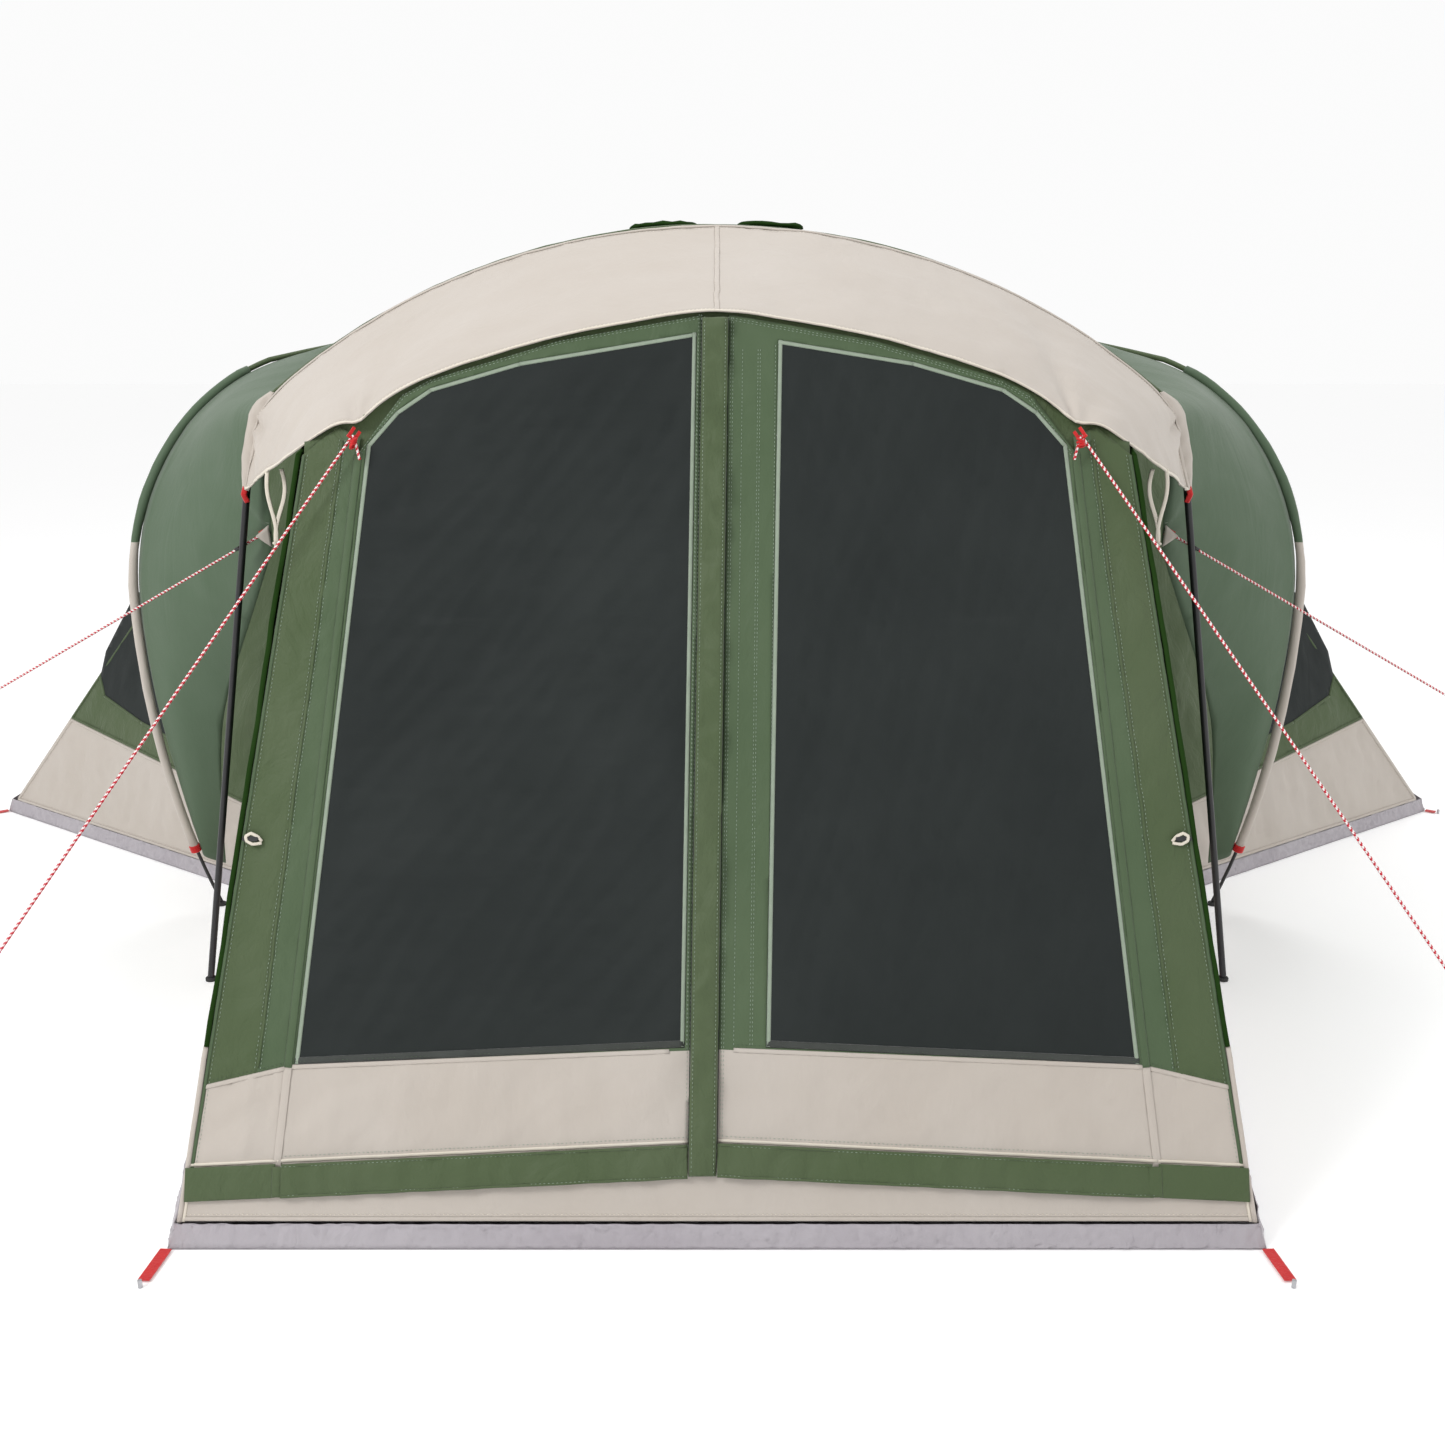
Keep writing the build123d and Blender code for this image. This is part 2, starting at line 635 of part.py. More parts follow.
ridge_mud = ridge_line(400)
inner_mud = inner_line(mud_z(1600))
wing_upper = narrowed([inner_mud, ridge_mud, WING_TOP, KNOT], EDGE_BACK)
wing_lower = narrowed([inner_line(WALL_LOW), ridge_line(WALL_LOW), ridge_mud, inner_mud], EDGE_BACK)
wing_lower = [wing_spot(x, max(z, WALL_LOW)) for x, _, z in wing_lower]
wing_window = [wing_spot(x, z) for x, z in WING_WINDOW]
end_upper = narrowed(folded([ridge_mud, WING_TOP]), EDGE_BACK)
end_lower = narrowed(folded([ridge_mud, ridge_line(WALL_LOW)]), EDGE_BACK)

for name, side in SIDES.items():
    with BuildPart() as front:
        add(panel(place(side, wing_upper), holes=[place(side, wing_window)]))
    save(front, f"wing_front_wall_{name}")

with BuildPart() as wing_meshes:
    for side in (-1, 1):
        add(panel(place(side, narrowed(wing_window, 2)), thickness=1))
save(wing_meshes, "wing_meshes")

with BuildPart() as rear_walls:
    for side in (-1, 1):
        add(panel(place(side, wing_upper, mirrored=True)))
save(rear_walls, "wing_rear_walls")

with BuildPart() as end_walls:
    for side in (-1, 1):
        add(panel(place(side, end_upper)))
save(end_walls, "wing_end_walls")

with BuildPart() as wing_mud:
    for side in (-1, 1):
        add(panel(place(side, wing_lower)))
        add(panel(place(side, wing_lower, mirrored=True)))
        add(panel(place(side, end_lower)))
save(wing_mud, "wing_mudwalls")

# sheets between the roof's edge and the wings' top edges
SHOULDER_TOP = [(1140, 1130, 1760), (1136, 1330, 1822), (1134, 1700, 1838), (1130, 2230, 1838)]
SHOULDER_LOW = [(1585, 1318, 1512), (1590, 1480, 1512), (1592, 1800, 1512), (1592, 2230, 1512)]
with BuildPart() as shoulders:
    for side in (-1, 1):
        upper, lower = (place(side, folded(edge)) for edge in (SHOULDER_TOP, SHOULDER_LOW))
        add(cloth(between(upper, lower, 3, swell=(side * 30, 0, 30)), CLOTH * side))
save(shoulders, "shoulder_panels")


# ---------------------------------------------------------------- rear wall
def rear_spot(x, z):
    return (x, REAR[1] - REAR_LEAN * z, z)


REAR_TOP = 1930.0
rear_low = KICK_HEIGHT + 4
REAR_WINDOW = [(-420, 900), (420, 900), (420, 1350), (-420, 1350)]


def rear_edge_x(z):
    return REAR[0] - 10 - 0.03 * z


rear_corners = [(-rear_edge_x(rear_low), rear_low), (rear_edge_x(rear_low), rear_low)]
rear_corners += [(rear_edge_x(1820), 1820), (700, 1886), (0, REAR_TOP), (-700, 1886)]
rear_corners += [(-rear_edge_x(1820), 1820)]
with BuildPart() as rear_wall:
    corners = [at(*rear_spot(x, z)) for x, z in rear_corners]
    add(panel(corners, holes=[[at(*rear_spot(x, z)) for x, z in REAR_WINDOW]]))
save(rear_wall, "rear_wall")
with BuildPart() as rear_mesh:
    inner = [(x * 0.995, 1125 + (z - 1125) * 0.99) for x, z in REAR_WINDOW]
    add(panel([at(*rear_spot(x, z)) for x, z in inner], thickness=1))
save(rear_mesh, "rear_window_mesh")

# panels between the wings and the rear wall, drawn out to the rear halves of the dome poles
RIDGE_HEIGHTS = (rear_low, 700, 1050, 1350, 1550, 1700)
RIDGE_OFF = 22.0          # the panels stop this far inside the axis of the pole
CLOSING_ROW = [(1148, 3476, 1768), (1245, 3515, 1776), (1100, 3484, 1800)]
corner_rows = []
for z in RIDGE_HEIGHTS:
    wing_x, wing_d, _ = inner_line(z)
    reach = (pole_radius(z) - RIDGE_OFF) * diagonal
    ridge = (reach, DOME_DEPTH + reach, z)
    corner_rows.append([(wing_x + 6, rear_depth(wing_d) + 4, z), ridge, rear_spot(rear_edge_x(z) + 8, z)])
corner_rows.append(CLOSING_ROW)
with BuildPart() as corner_panels:
    for side in (-1, 1):
        rows = []
        for wing, ridge, edge in corner_rows:
            wing, ridge, edge = (at(side * x, d, z) for x, d, z in (wing, ridge, edge))
            rows.append([wing, (wing + ridge) / 2, ridge, (ridge + edge) / 2, edge])
        add(cloth(rows, CLOTH * side))
save(corner_panels, "rear_corner_panels")

with BuildPart() as rear_mud:
    rows = []
    for z in (WALL_LOW, KICK_HEIGHT):
        half = [(CORNER[0] - 8 - 0.29 * z, rear_depth(CORNER[1] + 0.17 * z) + 4, z)]
        half += [rear_spot(REAR[0] - 0.03 * z, z), rear_spot(0, z)]
        rows.append(both_halves(half))
    add(cloth(rows, CLOTH))
save(rear_mud, "rear_mudwall")


# ---------------------------------------------------------------- groundsheet
floor_half = [(0, WALL_BASE), (BASE_HALF, WALL_BASE), SIDE_MID, CORNER, STAKE]
floor_half += [(STAKE[0], rear_depth(STAKE[1])), (CORNER[0], rear_depth(CORNER[1])), REAR]
floor_half += [(0, REAR[1])]
floor_corners = floor_half + [(-x, d) for x, d in reversed(floor_half[1:-1])]
floor_corners = [(x, ARCH_Y + d) for x, d in floor_corners]
with BuildPart() as groundsheet:
    with BuildSketch():
        Polygon(*floor_corners, align=None)
    extrude(amount=CLOTH)
save(groundsheet, "groundsheet")

TUB_TAPER = 16.0
with BuildPart() as tub:
    with BuildSketch(Plane.XY.offset(CLOTH + 0.2)):
        Polygon(*floor_corners, align=None)
    extrude(amount=TUB_HEIGHT - CLOTH, taper=TUB_TAPER)
    with BuildSketch(Plane.XY.offset(CLOTH + 0.2)):
        Polygon(*floor_corners, align=None)
        offset(amount=-CLOTH, kind=Kind.INTERSECTION, mode=Mode.REPLACE)
    extrude(amount=TUB_HEIGHT - CLOTH, taper=TUB_TAPER, mode=Mode.SUBTRACT)
save(tub, "bathtub_edge")


# ---------------------------------------------------------------- webbing, pegs and small trim
def strap(start, end, width=24.0, thickness=2.4, z=3.6):
    """A flat webbing strap lying just above the ground."""
    a, b = Vector(start[0], ARCH_Y + start[1], z), Vector(end[0], ARCH_Y + end[1], z)
    along = b - a
    with BuildPart() as piece:
        with BuildSketch(Plane(origin=a, x_dir=along, z_dir=(0, 0, 1))):
            with Locations((along.length / 2, 0)):
                Rectangle(along.length, width)
        extrude(amount=thickness)
    return piece.part


PEG_SPOTS = [(1139, -1468), (2848, 1590), (2848, 2890), (1172, 4004)]
straps = []
for side in (-1, 1):
    straps.append(strap((side * 1131, -1347), (side * 1138, -1452)))
    straps.append(strap((side * 2811, 1618), (side * 2840, 1596)))
    straps.append(strap((side * 2811, 2862), (side * 2840, 2884)))
    straps.append(strap((side * 1152, 3964), (side * 1168, 3994)))
    straps.append(strap((side * 1421, 0), (side * 1459, 0), width=20))
with BuildPart() as corner_webbing:
    add(straps)
save(corner_webbing, "corner_webbing")

with BuildPart() as corner_pegs:
    with BuildSketch():
        for side in (-1, 1):
            for x, d in PEG_SPOTS:
                with Locations((side * x, ARCH_Y + d)):
                    Circle(4.5)
    extrude(amount=16)
save(corner_pegs, "corner_pegs")


# ---------------------------------------------------------------- guy ropes
def guy_frame(root, anchor, side):
    """Directions of a taut rope: along it, sideways, and square to both."""
    along = (anchor - root).normalized()
    aside = along.cross(Vector(0, 0, 1)).normalized() * side
    return along, aside, aside.cross(along).normalized() * side


def guy_route(root, anchor, side, tail):
    """Tail, loop round the tab's bar, one taut run, loop round the peg, and the lower tail."""
    along, aside, _ = guy_frame(root, anchor, side)
    aside = aside * ROPE_LOOP
    back = along * ROPE_LOOP
    return [root + aside + tail, root + aside - back, root - aside - back,
            anchor - aside + back, anchor + aside + back, anchor + aside - along * 60]


def rope(points):
    radius = 0.45 * 2 * ROPE_LOOP
    with BuildPart() as piece:
        with BuildLine() as path:
            FilletPolyline(*points, radius=radius)
        with BuildSketch(Plane(origin=path.line @ 0, z_dir=path.line % 0)):
            Circle(ROPE_R)
        sweep()
    length = sum(edge.length for edge in path.edges())
    share = piece.part.volume / (length * pi * ROPE_R**2)
    print(f"rope length {length:.0f} radii {radius:.2f} volume share {share:.4f}")
    return piece


def bar(centre, direction, low, high, radius):
    with BuildPart() as piece:
        with BuildSketch(Plane(origin=centre + direction * low, z_dir=direction)):
            Circle(radius)
        extrude(amount=high - low)
    return piece.part


def web(start, end, across, width, thickness=2.4):
    """A short flat piece of webbing between two points, lying across the given direction."""
    run = end - start
    with BuildPart() as piece:
        with BuildSketch(Plane(origin=start, x_dir=across, z_dir=run)):
            Rectangle(width, thickness)
        extrude(amount=run.length)
    return piece.part


ANCHOR_Z = 26.0
RUNNER_AT, RUNNER_LENGTH = 71.0, 12.0
guys = []
for name, side in SIDES.items():
    pull = at(side * guy_pull[0], guy_pull[1] - 1, guy_pull[2] - 2)
    anchor = at(side * FRONT_ANCHOR[0], FRONT_ANCHOR[1], ANCHOR_Z)
    root = pull + (anchor - pull).normalized() * 26
    guys.append((f"front_guy_{name}", side, pull, root, anchor, Vector(-side * 14, -3, -46)))
    pull = at(side * HOOD_TAB[0], HOOD_TAB[1], HOOD_TAB[2])
    anchor = at(side * SIDE_ANCHOR[0], SIDE_ANCHOR[1], ANCHOR_Z)
    root = pull + (anchor - pull).normalized() * 26
    to_runner = (anchor - pull).normalized() * (RUNNER_AT - 1)
    guys.append((f"side_guy_{name}", side, pull, root, anchor, to_runner))

tabs, pegs = [], []
for _, side, pull, root, anchor, _ in guys:
    along, aside, square = guy_frame(root, anchor, side)
    tabs.append(bar(root, square, -11, 11, PEG_R))
    for offset in (-7.5, 7.5):
        tabs.append(web(pull + along * 3 + square * offset, root + square * offset, square, 7))
    # the peg leans square to the rope, with its foot in the ground
    pegs.append(bar(anchor, square, -60, 14, PEG_R))
with BuildPart() as guy_tabs:
    add(tabs)
save(guy_tabs, "guy_tabs")

with BuildPart() as guy_pegs:
    add(pegs)
    split(bisect_by=Plane.XY, keep=Keep.TOP)
save(guy_pegs, "guy_pegs")

for label, side, pull, root, anchor, tail in guys:
    route = guy_route(root, anchor, side, tail)
    print(label, [tuple(round(c / 1000, 4) for c in p) for p in route])
    save(rope(route), label)

for (label, side, pull, root, anchor, tail) in guys[1::2]:
    along, aside, square = guy_frame(root, anchor, side)
    middle = root + along * RUNNER_AT
    with BuildPart() as runner:
        with BuildSketch(Plane(origin=middle, x_dir=aside, z_dir=along)):
            RectangleRounded(30, 9, 3)
            with Locations((-ROPE_LOOP, 0)):
                Circle(ROPE_R + 0.12, mode=Mode.SUBTRACT)
        extrude(amount=RUNNER_LENGTH)
    save(runner, "guy_runner_left" if side < 0 else "guy_runner_right")
    print("runner axis", side, tuple(round(c, 5) for c in along))

# toggles that hold a rolled door, on the outer edges of the front wall
with BuildPart() as toggles:
    for side in (-1, 1):
        with BuildSketch(wall_plane.offset(0.5)):
            with Locations(on_wall(side * (edge_x(790) - 22), 790)):
                SlotOverall(34, 11)
        extrude(amount=9)
save(toggles, "door_toggles")
print(len(solids_made), "nodes", sum(v for _, v in solids_made) / 1e6, "litres")
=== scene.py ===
import json
import math

import bmesh
import bpy
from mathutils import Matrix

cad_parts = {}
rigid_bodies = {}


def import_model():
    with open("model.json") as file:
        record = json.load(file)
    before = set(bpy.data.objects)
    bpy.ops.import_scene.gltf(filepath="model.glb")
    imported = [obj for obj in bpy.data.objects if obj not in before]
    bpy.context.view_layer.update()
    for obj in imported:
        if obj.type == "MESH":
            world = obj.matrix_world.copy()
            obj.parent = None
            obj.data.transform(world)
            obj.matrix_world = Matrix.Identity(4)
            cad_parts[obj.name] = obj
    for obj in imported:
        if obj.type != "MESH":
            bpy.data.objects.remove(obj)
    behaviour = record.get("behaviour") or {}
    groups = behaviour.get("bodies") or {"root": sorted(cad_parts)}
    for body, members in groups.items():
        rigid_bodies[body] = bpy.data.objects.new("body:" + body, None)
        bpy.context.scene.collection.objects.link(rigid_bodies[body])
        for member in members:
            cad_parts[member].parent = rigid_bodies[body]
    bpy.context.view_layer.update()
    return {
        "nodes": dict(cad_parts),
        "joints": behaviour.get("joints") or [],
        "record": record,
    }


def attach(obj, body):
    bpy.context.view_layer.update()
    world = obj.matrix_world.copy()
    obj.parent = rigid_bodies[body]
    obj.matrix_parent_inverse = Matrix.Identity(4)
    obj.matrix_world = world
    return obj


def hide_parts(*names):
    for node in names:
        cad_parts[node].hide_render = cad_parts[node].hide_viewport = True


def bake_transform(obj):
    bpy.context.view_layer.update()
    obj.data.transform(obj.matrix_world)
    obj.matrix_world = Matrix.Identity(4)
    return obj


for leftover in list(bpy.data.objects):
    bpy.data.objects.remove(leftover)
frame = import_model()

import numpy as np
from mathutils import Vector
from mathutils.bvhtree import BVHTree

SIDES = {"left": -1, "right": 1}
NODES = frame["nodes"]
BODY_OF = {node: body for body, nodes in frame["record"]["behaviour"]["bodies"].items() for node in nodes}
JOINTS = {joint["name"]: joint for joint in frame["joints"]}

# the plane of the front wall, from the left door's hinge line
hinge = JOINTS["door_left_hinge"]
WALL_FOOT = hinge["pos_m"][1]
LEAN = hinge["axis"][1] / hinge["axis"][2]
WALL_UP = Vector((0, LEAN, 1)).normalized()
WALL_OUT = Vector((0, -1, LEAN)).normalized()
TENT_MIDDLE = Vector((0, 0.9, 0.7))
CLOTH = 0.0016            # thickness of the cloth that shows


# ---------------------------------------------------------------- camera
LENS, SENSOR = 37.37, 36.0
CAMERA_AT = (0.0, -5.338, 1.813)
CAMERA_PITCH = 14.31
camera_data = bpy.data.cameras.new("camera")
camera_data.lens = LENS
camera_data.sensor_width = SENSOR
camera_data.shift_x = 0.0038
camera = bpy.data.objects.new("camera", camera_data)
camera.location = CAMERA_AT
camera.rotation_euler = (math.radians(90 - CAMERA_PITCH), 0, 0)
bpy.context.scene.collection.objects.link(camera)
bpy.context.scene.camera = camera


# ---------------------------------------------------------------- materials
def nodes_of(name):
    material = bpy.data.materials.new(name)
    material.use_nodes = True
    tree = material.node_tree
    shader = tree.nodes["Principled BSDF"]
    return material, tree, shader


def link(tree, a, out, b, into):
    tree.links.new(a.outputs[out], b.inputs[into])


def add_node(tree, kind, **settings):
    node = tree.nodes.new(kind)
    for name, value in settings.items():
        if name in node.inputs:
            node.inputs[name].default_value = value
        else:
            setattr(node, name, value)
    return node


def tinted(tree, shader, colour, other, scale):
    """Base colour that drifts between two colours over the piece."""
    place = add_node(tree, "ShaderNodeTexCoord")
    drift = add_node(tree, "ShaderNodeTexNoise", Scale=scale, Detail=4.0, Roughness=0.6)
    ramp = add_node(tree, "ShaderNodeValToRGB")
    ramp.color_ramp.elements[0].position = 0.25
    ramp.color_ramp.elements[1].position = 0.75
    ramp.color_ramp.elements[0].color = (*other, 1)
    ramp.color_ramp.elements[1].color = (*colour, 1)
    link(tree, place, "Object", drift, "Vector")
    link(tree, drift, "Fac", ramp, "Fac")
    link(tree, ramp, "Color", shader, "Base Color")
    return place, ramp


def woven(tree, place, threads, twist=0.0):
    """Over-and-under threads: the product of two fine wave patterns."""
    turned = add_node(tree, "ShaderNodeMapping")
    turned.inputs["Rotation"].default_value = (0.3, twist, 0.2)
    link(tree, place, "Object", turned, "Vector")
    waves = []
    for direction in ("X", "Z"):
        wave = add_node(tree, "ShaderNodeTexWave", bands_direction=direction, Scale=threads)
        link(tree, turned, "Vector", wave, "Vector")
        waves.append(wave)
    both = add_node(tree, "ShaderNodeMath", operation="MULTIPLY")
    tree.links.new(waves[0].outputs["Fac"], both.inputs[0])
    tree.links.new(waves[1].outputs["Fac"], both.inputs[1])
    return both


def creased(tree, place, scale, stretch=(1, 1, 1)):
    """Fine sharp creases: the folded middle of a smooth noise."""
    mapping = add_node(tree, "ShaderNodeMapping")
    mapping.inputs["Scale"].default_value = stretch
    link(tree, place, "Object", mapping, "Vector")
    grain = add_node(tree, "ShaderNodeTexNoise", Scale=scale, Detail=5.0, Roughness=0.55, Distortion=0.9)
    link(tree, mapping, "Vector", grain, "Vector")
    middle = add_node(tree, "ShaderNodeMath", operation="SUBTRACT")
    middle.inputs[1].default_value = 0.5
    tree.links.new(grain.outputs["Fac"], middle.inputs[0])
    fold = add_node(tree, "ShaderNodeMath", operation="ABSOLUTE")
    tree.links.new(middle.outputs[0], fold.inputs[0])
    return fold


def bumped(tree, shader, layers):
    """Stacks bump layers of (height node, strength, distance) into the shader's normal."""
    last = None
    for height, strength, distance in layers:
        bump = add_node(tree, "ShaderNodeBump", Strength=strength, Distance=distance)
        tree.links.new(height.outputs[0], bump.inputs["Height"])
        if last is not None:
            tree.links.new(last.outputs["Normal"], bump.inputs["Normal"])
        last = bump
    tree.links.new(last.outputs["Normal"], shader.inputs["Normal"])


def cloth_material(name, colour, other, rough=0.62, sheen=0.25, crease=0.35, crease_scale=9.0,
                   threads=260.0, drift=2.2, alpha=1.0, gloss=0.3):
    material, tree, shader = nodes_of(name)
    place, _ = tinted(tree, shader, colour, other, drift)
    weave = woven(tree, place, threads)
    folds = creased(tree, place, crease_scale, (1.0, 1.0, 0.45))
    small = creased(tree, place, crease_scale * 3.1, (1.0, 1.0, 0.6))
    bumped(tree, shader, [(folds, crease, 0.012), (small, crease * 0.7, 0.004), (weave, 0.12, 0.0006)])
    shader.inputs["Roughness"].default_value = rough
    shader.inputs["Sheen Weight"].default_value = sheen
    shader.inputs["Sheen Roughness"].default_value = 0.4
    shader.inputs["Specular IOR Level"].default_value = gloss
    shader.inputs["Alpha"].default_value = alpha
    return material


def solid_material(name, colour, other, rough, metallic=0.0, scale=30.0, bump=0.15, distance=0.0004):
    material, tree, shader = nodes_of(name)
    place, _ = tinted(tree, shader, colour, other, scale)
    grain = add_node(tree, "ShaderNodeTexNoise", Scale=scale * 14, Detail=6.0, Roughness=0.7)
    link(tree, place, "Object", grain, "Vector")
    worn = add_node(tree, "ShaderNodeMapRange")
    worn.inputs["To Min"].default_value = rough * 0.75
    worn.inputs["To Max"].default_value = min(1.0, rough * 1.3)
    tree.links.new(grain.outputs["Fac"], worn.inputs["Value"])
    tree.links.new(worn.outputs["Result"], shader.inputs["Roughness"])
    bumped(tree, shader, [(grain, bump, distance)])
    shader.inputs["Metallic"].default_value = metallic
    return material


GREEN = cloth_material("green_cloth", (0.06, 0.092, 0.036), (0.082, 0.112, 0.055), sheen=0.12, crease=1.0,
                       crease_scale=11.0)
FRAME_GREEN = cloth_material("frame_green_cloth", (0.062, 0.1, 0.047), (0.082, 0.122, 0.064), sheen=0.12,
                             crease=0.7, crease_scale=8.0)
SAGE = cloth_material("sage_cloth", (0.066, 0.108, 0.06), (0.082, 0.126, 0.076), sheen=0.15, crease=0.35,
                      crease_scale=5.0)
# the cloth's own dark green darkened further with painted shade, for the bay side walls that lie in shadow under the
# hoods; their piping and the roof vents use it too
DEEP_GREEN_WITH_PAINTED_SHADE = cloth_material("deep_green_cloth_with_painted_shade", (0.012, 0.034, 0.006), (0.02, 0.05, 0.011), rough=1.0, sheen=0.0,
                      crease=0.8, gloss=0.03)
BEIGE = cloth_material("beige_cloth", (0.475, 0.425, 0.375), (0.51, 0.465, 0.42), sheen=0.08, crease=0.4,
                       crease_scale=7.0)
CREAM = cloth_material("cream_hem", (0.66, 0.6, 0.5), (0.7, 0.65, 0.57), sheen=0.08, crease=0.3)
NETTING = cloth_material("dark_netting", (0.014, 0.018, 0.0175), (0.022, 0.027, 0.026), rough=0.75, sheen=0.05,
                         crease=0.4, crease_scale=6.0, threads=420.0, alpha=0.95, gloss=0.25)
GROUND = cloth_material("ground_cloth", (0.37, 0.34, 0.37), (0.44, 0.415, 0.44), rough=0.45, crease=0.9,
                        crease_scale=10.0, sheen=0.1)
RED = cloth_material("red_webbing", (0.5, 0.008, 0.01), (0.6, 0.016, 0.016), rough=0.55, threads=900.0,
                     drift=40.0, crease_scale=60.0)
TAPE = cloth_material("zip_tape", (0.035, 0.04, 0.035), (0.05, 0.055, 0.05), threads=700.0, drift=20.0)
THREAD_LIGHT = solid_material("light_thread", (0.86, 0.8, 0.7), (0.78, 0.72, 0.62), 0.7, scale=200.0)
THREAD_GREEN = solid_material("green_thread", (0.36, 0.44, 0.36), (0.3, 0.38, 0.3), 0.7, scale=200.0)
THREAD_DARK = solid_material("dark_thread", (0.06, 0.09, 0.05), (0.08, 0.12, 0.07), 0.7, scale=200.0)
ROPE_RED = solid_material("rope_red", (0.58, 0.008, 0.03), (0.48, 0.006, 0.02), 0.6, scale=300.0, bump=0.4)
ROPE_WHITE = solid_material("rope_white", (0.88, 0.86, 0.85), (0.8, 0.77, 0.76), 0.6, scale=300.0, bump=0.4)
BLACK_STEEL = solid_material("black_steel", (0.012, 0.012, 0.014), (0.02, 0.02, 0.022), 0.38, scale=20.0)
GLASS_FIBRE = solid_material("glass_fibre", (0.011, 0.011, 0.012), (0.02, 0.02, 0.02), 0.3, scale=25.0)
STEEL = solid_material("plated_steel", (0.5, 0.5, 0.52), (0.4, 0.4, 0.42), 0.32, metallic=1.0, scale=60.0)
RUBBER = solid_material("black_rubber", (0.02, 0.02, 0.02), (0.03, 0.03, 0.03), 0.75, scale=80.0)
ZIP_METAL = solid_material("zip_metal", (0.03, 0.03, 0.032), (0.06, 0.06, 0.06), 0.3,
                           metallic=0.6, scale=120.0)
PLASTIC = solid_material("black_plastic", (0.018, 0.018, 0.02), (0.03, 0.03, 0.03), 0.45, scale=90.0)
for node, material in {
    "main_leg_left": BLACK_STEEL, "main_leg_right": BLACK_STEEL, "arch_elbows": BLACK_STEEL,
    "front_arch_rod_left": GLASS_FIBRE, "front_arch_rod_right": GLASS_FIBRE,
    "dome_pole_left": GLASS_FIBRE, "dome_pole_right": GLASS_FIBRE,
    "front_arch_ferrule": STEEL, "crown_clip": STEEL, "corner_pegs": STEEL, "guy_pegs": STEEL,
    "leg_feet": RUBBER, "pole_feet": RUBBER, "centre_zip_slider": ZIP_METAL,
    "hem_zip_slider_left": ZIP_METAL, "hem_zip_slider_right": ZIP_METAL,
    "guy_runner_left": PLASTIC, "guy_runner_right": PLASTIC, "door_toggles": PLASTIC,
    "centre_zip": TAPE, "hem_zip": TAPE,
}.items():
    for place in NODES[node].material_slots:
        place.material = material


# ---------------------------------------------------------------- mesh helpers
def new_object(name, points, faces, materials, slots=None, smooth=True):
    mesh = bpy.data.meshes.new(name)
    mesh.from_pydata([tuple(p) for p in points], [], faces)
    for material in materials:
        mesh.materials.append(material)
    if slots is not None:
        mesh.polygons.foreach_set("material_index", slots)
    mesh.polygons.foreach_set("use_smooth", [smooth] * len(mesh.polygons))
    mesh.update()
    piece = bpy.data.objects.new(name, mesh)
    bpy.context.scene.collection.objects.link(piece)
    return piece


def from_bmesh(name, bm, materials):
    mesh = bpy.data.meshes.new(name)
    bm.to_mesh(mesh)
    for material in materials:
        mesh.materials.append(material)
    mesh.polygons.foreach_set("use_smooth", [True] * len(mesh.polygons))
    piece = bpy.data.objects.new(name, mesh)
    bpy.context.scene.collection.objects.link(piece)
    return piece


def resampled(line, step):
    """Evenly spaced points along a polyline."""
    line = np.array([tuple(p) for p in line], float)
    lengths = np.linalg.norm(np.diff(line, axis=0), axis=1)
    along = np.concatenate([[0], np.cumsum(lengths)])
    count = max(2, int(round(along[-1] / step)) + 1)
    where = np.linspace(0, along[-1], count)
    return np.stack([np.interp(where, along, line[:, k]) for k in range(3)], axis=1)


def tangents(line):
    ahead = np.gradient(line, axis=0)
    return ahead / np.maximum(np.linalg.norm(ahead, axis=1, keepdims=True), 1e-9)


def unit_rows(rows):
    return rows / np.maximum(np.linalg.norm(rows, axis=-1, keepdims=True), 1e-9)


def swept(line, ups, profile, closed=True):
    """Points and faces of a profile of (sideways, up) offsets carried along a line."""
    along = tangents(line)
    side = unit_rows(np.cross(along, ups))
    up = unit_rows(np.cross(side, along))
    rings = [line + side * a + up * b for a, b in profile]
    points = np.stack(rings, axis=1).reshape(-1, 3)
    count, faces = len(profile), []
    turns = count if closed else count - 1
    for i in range(len(line) - 1):
        for j in range(turns):
            k = (j + 1) % count
            faces.append((i * count + j, i * count + k, (i + 1) * count + k, (i + 1) * count + j))
    if closed:
        faces.append(tuple(range(count))[::-1])
        last = (len(line) - 1) * count
        faces.append(tuple(range(last, last + count)))
    return points, faces


def ribbon_profile(width, height):
    half, edge = width / 2, min(width / 5, height * 1.5)
    return [(-half, 0), (-half + edge, height), (half - edge, height), (half, 0), (0, -height * 0.6)]


def round_profile(radius, sides=8, flat=1.0):
    turn = [2 * math.pi * k / sides for k in range(sides)]
    return [(radius * math.cos(a), radius * flat * math.sin(a)) for a in turn]


class Pile:
    """Many small pieces gathered into one mesh."""

    def __init__(self):
        self.points, self.faces, self.slots, self.count = [], [], [], 0

    def add(self, points, faces, slot=0):
        self.points.append(np.array(points, float))
        self.faces += [tuple(k + self.count for k in face) for face in faces]
        self.slots += [slot] * len(faces)
        self.count += len(points)

    def made(self, name, materials, body, across=None):
        piece = new_object(name, np.concatenate(self.points), self.faces, materials, self.slots)
        if across:
            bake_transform(piece)
        else:
            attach(piece, body)
        return piece


